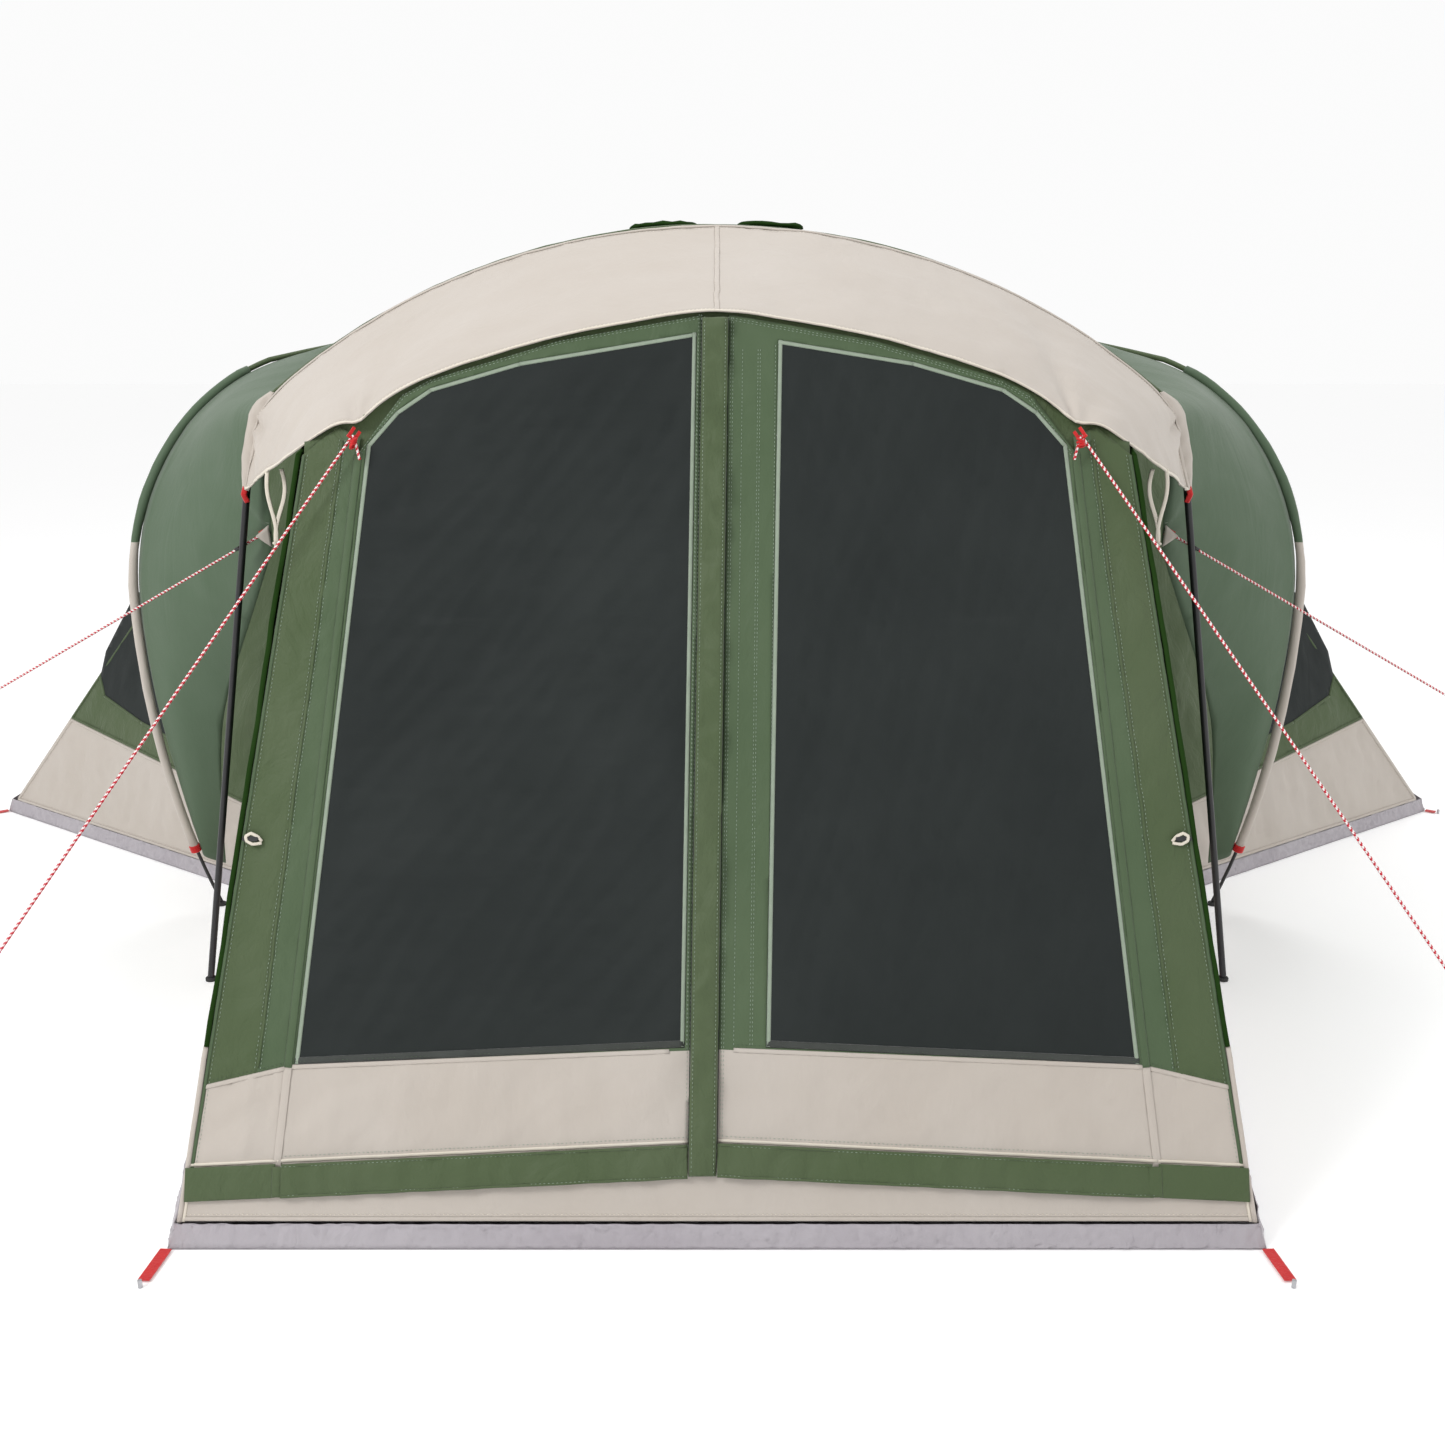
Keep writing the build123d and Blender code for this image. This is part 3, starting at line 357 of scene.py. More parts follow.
def stitches(pile, line, ups, pitch=0.009, length=0.0062, width=0.0011, height=0.0007, slot=0):
    """A row of short raised stitches along a line."""
    count = max(1, int(np.linalg.norm(np.diff(line, axis=0), axis=1).sum() / pitch))
    fine = resampled(line, pitch)[: count + 1]
    ups = np.array([ups[min(len(ups) - 1, int(k * len(ups) / len(fine)))] for k in range(len(fine))])
    along = tangents(fine)
    side = unit_rows(np.cross(along, ups))
    up = unit_rows(np.cross(side, along))
    for p, a, s, u in zip(fine, along, side, up):
        half = a * length / 2
        corners = [p - half, p + half, p + s * width / 2 - half * 0.4, p + s * width / 2 + half * 0.4,
                   p - s * width / 2 - half * 0.4, p - s * width / 2 + half * 0.4,
                   p + u * height - half * 0.5, p + u * height + half * 0.5]
        pile.add(corners, [(0, 2, 6), (2, 3, 7, 6), (3, 1, 7), (0, 6, 4), (4, 6, 7, 5), (5, 7, 1),
                           (0, 4, 5, 1, 3, 2)], slot)


# ---------------------------------------------------------------- noise
def waves(u, v, seed):
    """Smooth random waves between about -1 and 1, one bump for each unit of u and v."""
    cell_u, cell_v = np.floor(u), np.floor(v)
    du, dv = u - cell_u, v - cell_v

    def corner(a, b):
        turn = np.sin((cell_u + a) * 127.1 + (cell_v + b) * 311.7 + seed * 74.7) * 43758.5453
        turn = (turn - np.floor(turn)) * 2 * np.pi
        return np.cos(turn) * (du - a) + np.sin(turn) * (dv - b)

    fade_u, fade_v = (t * t * t * (t * (6 * t - 15) + 10) for t in (du, dv))
    low = corner(0, 0) * (1 - fade_u) + corner(1, 0) * fade_u
    high = corner(0, 1) * (1 - fade_u) + corner(1, 1) * fade_u
    return 1.5 * (low * (1 - fade_v) + high * fade_v)


def ridges(u, v, seed):
    """Sharp-topped folds between 0 and 1."""
    return np.clip(1 - 2.2 * np.abs(waves(u, v, seed)), 0, 1) ** 2


def turned(x, z, degrees):
    c, s = math.cos(math.radians(degrees)), math.sin(math.radians(degrees))
    return x * c + z * s, z * c - x * s


def fade(distance, reach):
    """0 at the edge, 1 from a reach inside it."""
    t = np.clip(distance / reach, 0, 1)
    return t * t * (3 - 2 * t)


# ---------------------------------------------------------------- guy ropes
ROPE_D = 0.0062
FLECK = 0.0118            # length of one red and one white fleck of the braid
ROUTES = {
    "front_guy_left": [(-0.7722, -2.0564, 1.5617), (-0.7828, -2.0513, 1.6127), (-0.7897, -2.0403, 1.6127),
                       (-1.8589, -2.7187, 0.0209), (-1.8519, -2.7297, 0.0209), (-1.817, -2.7075, 0.073)],
    "side_guy_left": [(-1.3012, -1.2567, 1.2646), (-1.2347, -1.2645, 1.3016), (-1.2332, -1.2516, 1.3016),
                      (-3.5349, -0.9839, 0.0229), (-3.5364, -0.9968, 0.0229), (-3.4786, -1.0035, 0.055)],
}
ROPE_LENGTH = {"front_guy": 2.17, "side_guy": 2.81}


def line_of(route, name):
    """Points along the smooth line that a cord's route controls."""
    data = bpy.data.curves.new(name, "CURVE")
    data.dimensions = "3D"
    data.resolution_u = 24
    spline = data.splines.new("NURBS")
    spline.points.add(len(route) - 1)
    for point, place in zip(spline.points, route):
        point.co = (*place, 1)
    spline.order_u = 3
    spline.use_endpoint_u = True
    holder = bpy.data.objects.new(name, data)
    bpy.context.scene.collection.objects.link(holder)
    bpy.context.view_layer.update()
    mesh = bpy.data.meshes.new_from_object(holder)
    points = np.array([tuple(v.co) for v in mesh.vertices])
    bpy.data.objects.remove(holder)
    return points


def rope(name, line):
    """A braided rope with slanting white flecks."""
    fine = resampled(line, FLECK / 4)
    along = tangents(fine)
    up = np.zeros_like(fine)
    up[0] = unit_rows(np.cross(along[0], (0.0, 0.0, 1.0)))
    for k in range(1, len(fine)):
        up[k] = up[k - 1] - along[k] * (up[k - 1] @ along[k])
        up[k] /= np.linalg.norm(up[k])
    side = np.cross(along, up)
    sides, points, faces, slots = 10, [], [], []
    for k, centre in enumerate(fine):
        for j in range(sides):
            angle = 2 * math.pi * j / sides
            bulge = 1 + 0.1 * math.sin(math.pi * k + 2.5 * angle) * math.cos(5 * angle)
            offset = side[k] * math.cos(angle) + up[k] * math.sin(angle)
            points.append(centre + offset * ROPE_D / 2 * bulge)
    for k in range(len(fine) - 1):
        for j in range(sides):
            n = (j + 1) % sides
            faces.append((k * sides + j, k * sides + n, (k + 1) * sides + n, (k + 1) * sides + j))
            slots.append(1 if ((k + j // 2) % 4 < 2 and j % 5 < 4) else 0)
    faces += [tuple(range(sides))[::-1], tuple(range((len(fine) - 1) * sides, len(fine) * sides))]
    slots += [0, 0]
    piece = new_object(name, points, faces, [ROPE_RED, ROPE_WHITE], slots)
    return piece, fine


for kind, length in ROPE_LENGTH.items():
    for side_name, side in SIDES.items():
        node = f"{kind}_{side_name}"
        route = [(-side * x, y, z) for x, y, z in ROUTES[kind + "_left"]]
        piece, fine = rope(node + "_rope", line_of(route, node))
        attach(piece, "root")
        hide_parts(node)


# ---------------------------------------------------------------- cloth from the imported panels
def islands(node):
    """The separate solids of a CAD node, as bmeshes, from left to right and front to back."""
    whole = bmesh.new()
    whole.from_mesh(NODES[node].data)
    bmesh.ops.remove_doubles(whole, verts=whole.verts, dist=1e-5)
    whole.faces.ensure_lookup_table()
    left, found = set(range(len(whole.faces))), []
    while left:
        group, edge = set(), [min(left)]
        while edge:
            k = edge.pop()
            if k in group:
                continue
            group.add(k)
            for e in whole.faces[k].edges:
                edge += [f.index for f in e.link_faces if f.index not in group]
        left -= group
        part = whole.copy()
        part.faces.ensure_lookup_table()
        gone = [part.faces[k] for k in range(len(part.faces)) if k not in group]
        bmesh.ops.delete(part, geom=gone, context="FACES")
        found.append(part)
    whole.free()

    def middle(part):
        total = sum((v.co for v in part.verts), Vector())
        return total / len(part.verts)

    return sorted(found, key=lambda part: (round(middle(part).x, 1), middle(part).y))


def outline_loops(faces):
    """Closed loops of points round a set of faces."""
    inside = set(faces)
    rim = [e for f in faces for e in f.edges if sum(g in inside for g in e.link_faces) == 1]
    by_vert = {}
    for e in rim:
        for v in e.verts:
            by_vert.setdefault(v, []).append(e)
    loops, used = [], set()
    for start in rim:
        if start in used:
            continue
        loop, e, v = [], start, start.verts[0]
        while e not in used:
            used.add(e)
            loop.append(v.co.copy())
            v = e.other_vert(v)
            e = next((other for other in by_vert[v] if other not in used), e)
        loops.append(loop)
    return loops


class Flat:
    """The outer face of a flat CAD panel: its plane, its outline and a fine grid over it."""

    def __init__(self, part, cell, extra=()):
        biggest = max(part.faces, key=lambda f: f.calc_area())
        out = biggest.normal.copy()
        if out.dot(biggest.calc_center_median() - TENT_MIDDLE) < 0:
            out = -out
        self.out = out
        face_set = [f for f in part.faces if f.normal.dot(out) > 0.99]
        loops = outline_loops(face_set)
        level = abs(out.z) > 0.9
        self.across = Vector((1, 0, 0)) if level else Vector((0, 0, 1)).cross(out).normalized()
        self.up = out.cross(self.across).normalized()
        self.origin = sum((p for loop in loops for p in loop), Vector()) / sum(map(len, loops))
        self.loops = [self.straightened([self.flat(p) for p in loop]) for loop in loops]
        self.loops.sort(key=lambda loop: -abs(area_of(loop)))
        self.grid(cell, extra)

    def flat(self, p):
        return np.array(((p - self.origin).dot(self.across), (p - self.origin).dot(self.up)))

    def place(self, u, v, lift=0.0):
        u, v, lift = (np.asarray(t, float)[..., None] for t in (u, v, lift))
        return (np.array(self.origin) + u * np.array(self.across) + v * np.array(self.up)
                + lift * np.array(self.out))

    @staticmethod
    def straightened(loop):
        """A loop without the points that lie on straight runs."""
        kept = []
        for k, p in enumerate(loop):
            a, b = p - loop[k - 1], loop[(k + 1) % len(loop)] - p
            if abs(a[0] * b[1] - a[1] * b[0]) > 1e-6:
                kept.append(p)
        return kept

    def grid(self, cell, extra):
        """Cuts a grid of cells along the outline, and keeps what is inside it."""
        corners = np.array([p for loop in self.loops for p in loop])
        low, high = corners.min(0) - 0.003, corners.max(0) + 0.003
        counts = np.maximum(1, np.ceil((high - low) / cell)).astype(int)
        us, vs = (np.linspace(low[k], high[k], counts[k] + 1) for k in (0, 1))
        bm = bmesh.new()
        verts = [[bm.verts.new((u, v, 0)) for u in us] for v in vs]
        for i in range(len(vs) - 1):
            for j in range(len(us) - 1):
                bm.faces.new((verts[i][j], verts[i][j + 1], verts[i + 1][j + 1], verts[i + 1][j]))
        lines = []
        for loop in self.loops:
            for k, p in enumerate(loop):
                lines.append((loop[k - 1], p))
        lines += [(self.flat(Vector(a)), self.flat(Vector(b))) for a, b in extra]
        for a, b in lines:
            run = b - a
            geometry = bm.verts[:] + bm.edges[:] + bm.faces[:]
            bmesh.ops.bisect_plane(bm, geom=geometry, dist=1e-5, plane_co=(a[0], a[1], 0),
                                   plane_no=(-run[1], run[0], 0))
        gone = [f for f in bm.faces if not self.inside(f.calc_center_median())]
        bmesh.ops.delete(bm, geom=gone, context="FACES")
        bmesh.ops.remove_doubles(bm, verts=bm.verts, dist=0.0006)
        self.bm = bm

    def inside(self, p):
        hits = 0
        for loop in self.loops:
            for k, b in enumerate(loop):
                a = loop[k - 1]
                if (a[1] > p[1]) != (b[1] > p[1]):
                    hits += p[0] < a[0] + (b[0] - a[0]) * (p[1] - a[1]) / (b[1] - a[1])
        return hits % 2 == 1

    def edge_distance(self, u, v):
        """Distance of flat points from the nearest edge of the outline."""
        nearest = np.full(len(u), 1e9)
        for loop in self.loops:
            for k, b in enumerate(loop):
                a = loop[k - 1]
                run = b - a
                t = np.clip(((u - a[0]) * run[0] + (v - a[1]) * run[1]) / max(run @ run, 1e-12), 0, 1)
                nearest = np.minimum(nearest, np.hypot(u - a[0] - t * run[0], v - a[1] - t * run[1]))
        return nearest

    def surface(self, line, lift=0.0):
        """Points of the displaced panel under a line of flat points."""
        u, v = line[:, 0], line[:, 1]
        rest = self.place(u, v)
        raised = self.relief(rest[:, 0], rest[:, 1], rest[:, 2], self.edge_distance(u, v), u, v)
        return self.place(u, v, raised + lift)

    def runs(self, inset, keep=None, loop=0, step=0.012, lift=0.0):
        """Lines just inside the kept edges of the outline, with the direction off the panel."""
        corners, found = self.loops[loop], []
        for k, b in enumerate(corners):
            a = corners[k - 1]
            run = b - a
            length = float(np.hypot(*run))
            if length < 0.03:
                continue
            ahead = run / length
            inward = np.array((-ahead[1], ahead[0]))
            if not self.inside((a + b) / 2 + inward * 0.002):
                inward = -inward
            mid = self.place(*(a + b) / 2)
            if keep and not keep(Vector(mid), abs(ahead[0])):
                continue
            ends = np.array([a + inward * inset, b + inward * inset])
            line = resampled(np.column_stack([ends, [0, 0]]), step)[:, :2]
            points = self.surface(line, lift)
            found.append((points, np.tile(np.array(self.out), (len(points), 1))))
        return found

    def drawn(self, a, b, step=0.012, lift=0.0):
        """A straight line on the panel between two points of space."""
        ends = np.array([self.flat(Vector(a)), self.flat(Vector(b))])
        line = resampled(np.column_stack([ends, [0, 0]]), step)[:, :2]
        points = self.surface(line, lift)
        return points, np.tile(np.array(self.out), (len(points), 1))

    def area(self):
        areas = [abs(area_of(loop)) for loop in self.loops]
        return areas[0] - sum(areas[1:])

    def size(self):
        corners = np.array(self.loops[0])
        return corners.max(0) - corners.min(0)


def area_of(loop):
    return 0.5 * sum(a[0] * b[1] - b[0] * a[1] for a, b in zip(loop, loop[1:] + loop[:1]))


SHEETS = {}


def thickened(bm):
    """Gives a single layer its thickness on the inner side, with a rim all round."""
    bm.normal_update()
    outer = bm.verts[:]
    normals = {v: v.normal.copy() for v in outer}
    rims = [e for e in bm.edges if e.is_boundary]
    faces = bm.faces[:]
    inner = {v: bm.verts.new(v.co - normals[v] * CLOTH) for v in outer}
    for f in faces:
        twin = bm.faces.new([inner[v] for v in reversed(f.verts)])
        twin.material_index = f.material_index
    for e in rims:
        face = e.link_faces[0]
        a, b = e.verts
        loop = [l for l in face.loops if l.edge == e][0]
        if loop.vert != a:
            a, b = b, a
        rim = bm.faces.new((b, a, inner[a], inner[b]))
        rim.material_index = face.material_index
    bm.normal_update()


def cloth_piece(name, node, bm, materials, flat, held, area):
    """Thickens a displaced single layer inwards, and keeps its facts as a sheet in SHEETS."""
    thickened(bm)
    piece = from_bmesh(name, bm, materials)
    bm.free()
    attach(piece, BODY_OF.get(node, "root"))
    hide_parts(node)
    flat = (round(float(flat[0]), 3), round(float(flat[1]), 3))
    area = min(float(area), flat[0] * flat[1])
    SHEETS[name] = dict(piece=piece, flat=flat, held=held, area=area, rests_on=[], with_pieces=[])
    return piece


def flat_cloth(node, name, part, relief, materials, cell=0.014, held="stretched", extra=(), paint=None,
               lift=-0.0002):
    """A flat panel with relief(x, y, z, edge distance, u, v) in metres off its plane."""
    panel = Flat(part, cell, extra)
    panel.relief = relief
    bm = panel.bm
    bm.verts.ensure_lookup_table()
    uv = np.array([(v.co.x, v.co.y) for v in bm.verts])
    u, v = uv[:, 0], uv[:, 1]
    rest = panel.place(u, v)
    edge = panel.edge_distance(u, v)
    raised = relief(rest[:, 0], rest[:, 1], rest[:, 2], edge, u, v)
    moved = panel.place(u, v, raised + lift)
    for vert, p in zip(bm.verts, moved):
        vert.co = p
    bm.normal_update()
    if bm.faces and sum((f.normal * f.calc_area() for f in bm.faces), Vector()).dot(panel.out) < 0:
        bmesh.ops.reverse_faces(bm, faces=bm.faces[:])
    if paint:
        for f in bm.faces:
            f.material_index = paint(f.calc_center_median())
    size, area = panel.size(), panel.area()
    if area < 0.31 * size[0] * size[1]:
        # a frame of strips sewn end to end
        size = (area / sum(size), sum(size))
    cloth_piece(name, node, bm, materials, size, held, area)
    return panel


def trimmed(name, sheets, body, materials, build, across=None):
    """Hems, piping and stitches gathered in one piece that belongs to some sheets."""
    pile = Pile()
    build(pile)
    piece = pile.made(name, materials, body, across)
    for sheet in sheets:
        SHEETS[sheet]["with_pieces"].append(piece)
    return piece


def banded(pile, lines, width, height, slot=0):
    for points, ups in lines:
        pile.add(*swept(points, ups, ribbon_profile(width, height)), slot)


def sewn(pile, lines, slot=0, pitch=0.009, offsets=(0.0,), **size):
    for points, ups in lines:
        side = unit_rows(np.cross(tangents(points), ups))
        for offset in offsets:
            stitches(pile, points + side * offset, ups, pitch, slot=slot, **size)


def piped(pile, lines, radius, slot=0):
    for points, ups in lines:
        pile.add(*swept(points, ups, round_profile(radius)), slot)


def curved_cloth(node, name, part, relief, materials, levels=3, held="stretched", paint=None, lift=0.0,
                 kind="CATMULL_CLARK", rim_of=None, height=None):
    """A curved panel: the outer sheet of its CAD solid, smoothed, with relief off its surface."""
    bm = part
    rim_of = rim_of or (lambda f: min(e.calc_length() for e in f.edges) < 0.0045)
    rim = [f for f in bm.faces if rim_of(f)]
    bmesh.ops.delete(bm, geom=rim, context="FACES_ONLY")
    bm.faces.ensure_lookup_table()
    groups, left = [], set(f.index for f in bm.faces)
    bm.faces.index_update()
    while left:
        group, edge = set(), [min(left)]
        while edge:
            k = edge.pop()
            if k in group:
                continue
            group.add(k)
            for e in bm.faces[k].edges:
                edge += [f.index for f in e.link_faces if f.index not in group]
        left -= group
        groups.append(group)

    def outwards(group):
        total = sum((bm.faces[k].calc_center_median() for k in group), Vector()) / len(group)
        return (total - TENT_MIDDLE).length

    groups.sort(key=lambda g: (-len(g), -outwards(g)))
    keep = max(groups[:2], key=outwards)
    bmesh.ops.delete(bm, geom=[bm.faces[k] for k in range(len(bm.faces)) if k not in keep], context="FACES")
    loose = [v for v in bm.verts if not v.link_faces]
    bmesh.ops.delete(bm, geom=loose, context="VERTS")
    bmesh.ops.join_triangles(bm, faces=bm.faces[:], angle_face_threshold=3.1, angle_shape_threshold=3.1)
    holder = from_bmesh(name + "_coarse", bm, [])
    smoother = holder.modifiers.new("smooth", "SUBSURF")
    smoother.subdivision_type = kind
    smoother.levels = levels
    smoother.render_levels = levels
    smoother.boundary_smooth = "PRESERVE_CORNERS"
    bpy.context.view_layer.update()
    mesh = bpy.data.meshes.new_from_object(holder.evaluated_get(bpy.context.evaluated_depsgraph_get()))
    bpy.data.objects.remove(holder)
    fine = bmesh.new()
    fine.from_mesh(mesh)
    fine.normal_update()
    facing = sum(f.calc_area() * (1 if f.normal.dot(f.calc_center_median() - TENT_MIDDLE) > 0 else -1)
                 for f in fine.faces)
    if facing < 0:
        bmesh.ops.reverse_faces(fine, faces=fine.faces[:])
    fine.normal_update()
    rest = np.array([tuple(v.co) for v in fine.verts])
    normals = np.array([tuple(v.normal) for v in fine.verts])
    border = np.array([v.is_boundary for v in fine.verts])
    raised = relief(rest, normals) * np.where(border, 0.25, 1.0) + lift
    for vert, p in zip(fine.verts, rest + normals * raised[:, None]):
        vert.co = p
    if paint:
        for f in fine.faces:
            f.material_index = paint(f.calc_center_median())
    fine.normal_update()
    sides = sheet_sides(fine)
    tree = BVHTree.FromBMesh(fine)
    flat_area = sum(f.calc_area() for f in fine.faces)
    bounds = rest.max(0) - rest.min(0)
    length = flat_area / height if height else max(bounds)
    width = height or max(flat_area / length * 1.05, 0.011)
    cloth_piece(name, node, fine, materials, (width, length), held, flat_area)
    return sides, tree


def sheet_sides(bm):
    """The four edges of a sheet, as (points, normals) from corner to corner."""
    corners = [v for v in bm.verts if v.is_boundary and len(v.link_faces) == 1]
    sides, done = [], set()
    for corner in corners:
        for first in (e for e in corner.link_edges if e.is_boundary):
            if first in done:
                continue
            points, e, v = [corner], first, corner
            while True:
                done.add(e)
                v = e.other_vert(v)
                points.append(v)
                if v in corners:
                    break
                e = next((o for o in v.link_edges if o.is_boundary and o not in done), None)
                if e is None:
                    break
            line = np.array([tuple(p.co) for p in points])
            normals = np.array([tuple(p.normal) for p in points])
            sides.append((line, normals))
    return sides


def side_near(sides, point):
    """The sheet's edge whose middle is nearest to a point."""
    return min(sides, key=lambda s: np.linalg.norm(s[0] - np.array(point), axis=1).min()
               + 0.5 * np.linalg.norm(s[0][len(s[0]) // 2] - np.array(point)))


def inset(line, normals, tree, distance, lift=0.0008):
    """The line moved into its sheet along the surface."""
    along = tangents(line)
    inward = unit_rows(np.cross(normals, along))
    moved, ups = [], []
    for p, n, d in zip(line, normals, inward):
        options = []
        for sign in (1, -1):
            spot, normal, _, gap = tree.find_nearest(Vector(p + d * sign * distance))
            options.append((gap, spot, normal))
        _, spot, normal = min(options, key=lambda o: o[0])
        if normal.dot(Vector(n)) < 0:
            normal = -normal
        moved.append(np.array(spot) + np.array(normal) * lift)
        ups.append(np.array(normal))
    return np.array(moved), np.array(ups)


# ---------------------------------------------------------------- the front wall
# the top of the beige splash band, lower towards the outside
SPLASH_XS, SPLASH_ZS = (0.0, 0.88, 1.07), (0.3795, 0.347, 0.306)


def splash_top(x):
    return float(np.interp(abs(x), SPLASH_XS, SPLASH_ZS))


def wall_point(x, z, lift=0.0):
    return Vector((x, WALL_FOOT + LEAN * z, z)) + WALL_OUT * lift


def splash_line(side, low=0, high=1, step=0.0):
    return [wall_point(side * SPLASH_XS[k], SPLASH_ZS[k] + step) for k in (low, high)]


def beige_below(middle):
    return 1 if middle.z < splash_top(middle.x) else 0


SEAM_FOOT, SEAM_SLOPE = 0.995, -0.1126


def seam_x(z):
    return SEAM_FOOT + SEAM_SLOPE * z


def calm(depth, seed, long=0.5, short=0.22, angle=20, crumple=0.0, reach=0.05):
    """Relief of cloth pulled flat: long soft folds at an angle, with small crumples on them."""
    depth, crumple = depth * 1.9, crumple * 2.2

    def relief(x, y, z, edge, u, v):
        a, b = turned(u, v, angle)
        c, d = turned(u, v, angle - 55)
        soft = waves(a / short, b / long, seed) + 0.6 * waves(c / (short * 0.6), d / (long * 0.7), seed + 3)
        fine = (ridges(a / (short * 0.35), b / (long * 0.5), seed + 5)
                - ridges(c / (short * 0.3), d / (long * 0.4), seed + 9))
        return fade(edge, reach) * (depth * soft + crumple * fine)
    return relief


def puckered(depth, seed, pitch=0.03, reach=0.05, angle=0, **more):
    """Calm cloth with short gathers along its sewn edges."""
    inner = calm(depth, seed, angle=angle, **more)

    def relief(x, y, z, edge, u, v):
        near = np.clip(1 - edge / reach, 0, 1) * np.clip(edge / 0.006, 0, 1)
        gathers = waves(u / pitch, v / pitch, seed + 11)
        return inner(x, y, z, edge, u, v) + 0.0016 * near * gathers
    return relief


panels = {}
for side_name, side in SIDES.items():
    node = "front_side_strip_" + side_name
    panels[node] = flat_cloth(
        node, node + "_cloth", islands(node)[0],
        puckered(0.0035, 3 + side, long=0.55, short=0.09, angle=8 * side, crumple=0.0012),
        [GREEN, BEIGE, FRAME_GREEN],
        paint=lambda m: 1 if beige_below(m) else 2 if abs(m.x) < seam_x(m.z) else 0,
        extra=[splash_line(side, 0, 1), splash_line(side, 1, 2),
               [(side * seam_x(z), WALL_FOOT + LEAN * z, z) for z in (0.1, 1.7)]])
    node = "door_leaf_" + side_name
    panels[node] = flat_cloth(
        node, node + "_cloth", islands(node)[0],
        puckered(0.003, 9 + side, long=0.6, short=0.12, angle=5 * side, crumple=0.0015, reach=0.03),
        [FRAME_GREEN, BEIGE], paint=beige_below, extra=[splash_line(side)])
    node = "door_mesh_" + side_name
    panels[node] = flat_cloth(
        node, node + "_cloth", islands(node)[0],
        calm(0.0042, 15 + side, long=0.8, short=0.16, angle=38 * side, crumple=0.0022, reach=0.06),
        [NETTING], cell=0.0125)
    node = "hem_storm_flap_" + side_name
    panels[node] = flat_cloth(
        node, node + "_cloth", islands(node)[0],
        lambda x, y, z, edge, u, v, s=side: (
            fade(-v + 0.05, 0.06) * 0.006 * (waves(u / 0.06, v / 0.3, 21 + s) + 1.0)
            + fade(edge, 0.012) * 0.0045 * waves(u / 0.035, v / 0.06, 23 + s)),
        [GREEN], cell=0.007)

for part, side_name in zip(islands("corner_storm_flaps"), SIDES):
    panels["corner_flap_" + side_name] = flat_cloth(
        "corner_storm_flaps", "corner_storm_flap_" + side_name, part,
        lambda x, y, z, edge, u, v: 0.0025 * fade(edge, 0.012) * (waves(u / 0.04, v / 0.3, 31) + 0.6),
        [GREEN], cell=0.006)

panels["front_sill"] = flat_cloth(
    "front_sill", "front_sill_cloth", islands("front_sill")[0],
    calm(0.001, 41, long=0.6, short=0.08, angle=75, crumple=0.0005, reach=0.04), [BEIGE], cell=0.011)


def centre_flap_relief(x, y, z, edge, u, v):
    """A loose flap that crumples and twists on its way down."""
    twist = 0.004 * np.sin(u * 55) * waves(v / 0.16, v * 0 + 0.3, 51)
    rumple = 0.009 * waves(u / 0.05, v / 0.06, 53) + 0.006 * ridges(u / 0.09 + v / 0.2, v / 0.09, 55)
    return fade(edge, 0.004) * (0.007 + rumple) + 1.4 * twist


panels["centre_storm_flap"] = flat_cloth(
    "centre_storm_flap", "centre_storm_flap_cloth", islands("centre_storm_flap")[0],
    centre_flap_relief, [GREEN], cell=0.0065)


# ---------------------------------------------------------------- the wings, the back and the floor
for side_name, side in SIDES.items():
    node = "wing_front_wall_" + side_name
    panels[node] = flat_cloth(
        node, node + "_cloth", islands(node)[0],
        puckered(0.007, 61 + side, long=0.7, short=0.2, angle=30 * side, crumple=0.002), [GREEN], cell=0.02)


def both(node, label, relief, materials, cell=0.022, **more):
    """The two mirrored panels of one node, left then right."""
    parts = islands(node)
    count = len(parts) // 2
    for k, part in enumerate(parts):
        side_name = "left" if k < count else "right"
        name = f"{label}_{side_name}" if count == 1 else f"{label}_{side_name}_{k % count + 1}"
        panels[name] = flat_cloth(node, name, part, relief, materials, cell=cell, **more)


both("wing_meshes", "wing_window", calm(0.004, 71, crumple=0.0015, angle=30), [NETTING])
both("wing_rear_walls", "wing_rear_wall", puckered(0.008, 73, crumple=0.002), [GREEN])
both("wing_end_walls", "wing_end_wall", puckered(0.009, 75, long=0.9, short=0.25, crumple=0.002), [GREEN])
both("wing_mudwalls", "wing_mudwall", puckered(0.006, 77, long=0.45, short=0.14, angle=60, crumple=0.0018), [BEIGE],
     cell=0.016)
panels["rear_wall"] = flat_cloth("rear_wall", "rear_wall_cloth", islands("rear_wall")[0],
                                 puckered(0.009, 81, long=0.9, short=0.25, crumple=0.002), [GREEN], cell=0.024)
panels["rear_window_mesh"] = flat_cloth("rear_window_mesh", "rear_window_netting",
                                        islands("rear_window_mesh")[0], calm(0.003, 83, crumple=0.001), [NETTING])


def over(scale_u, scale_v, depth, seed, axes=(0, 2), crumple=0.0015):
    """Relief for a curved sheet, from two of its coordinates."""
    depth, crumple = depth * 1.6, crumple * 2.0

    def relief(rest, normals):
        a, b = rest[:, axes[0]], rest[:, axes[1]]
        c, d = turned(a, b, 40)
        return (depth * (waves(a / scale_u, b / scale_v, seed) + 0.5 * waves(c / (scale_u * 0.5), d / scale_v,
                                                                            seed + 2))
                + crumple * (ridges(c / (scale_u * 0.4), d / (scale_v * 0.6), seed + 4)
                             - ridges(a / (scale_u * 0.5), b / (scale_v * 0.4), seed + 6)))
    return relief


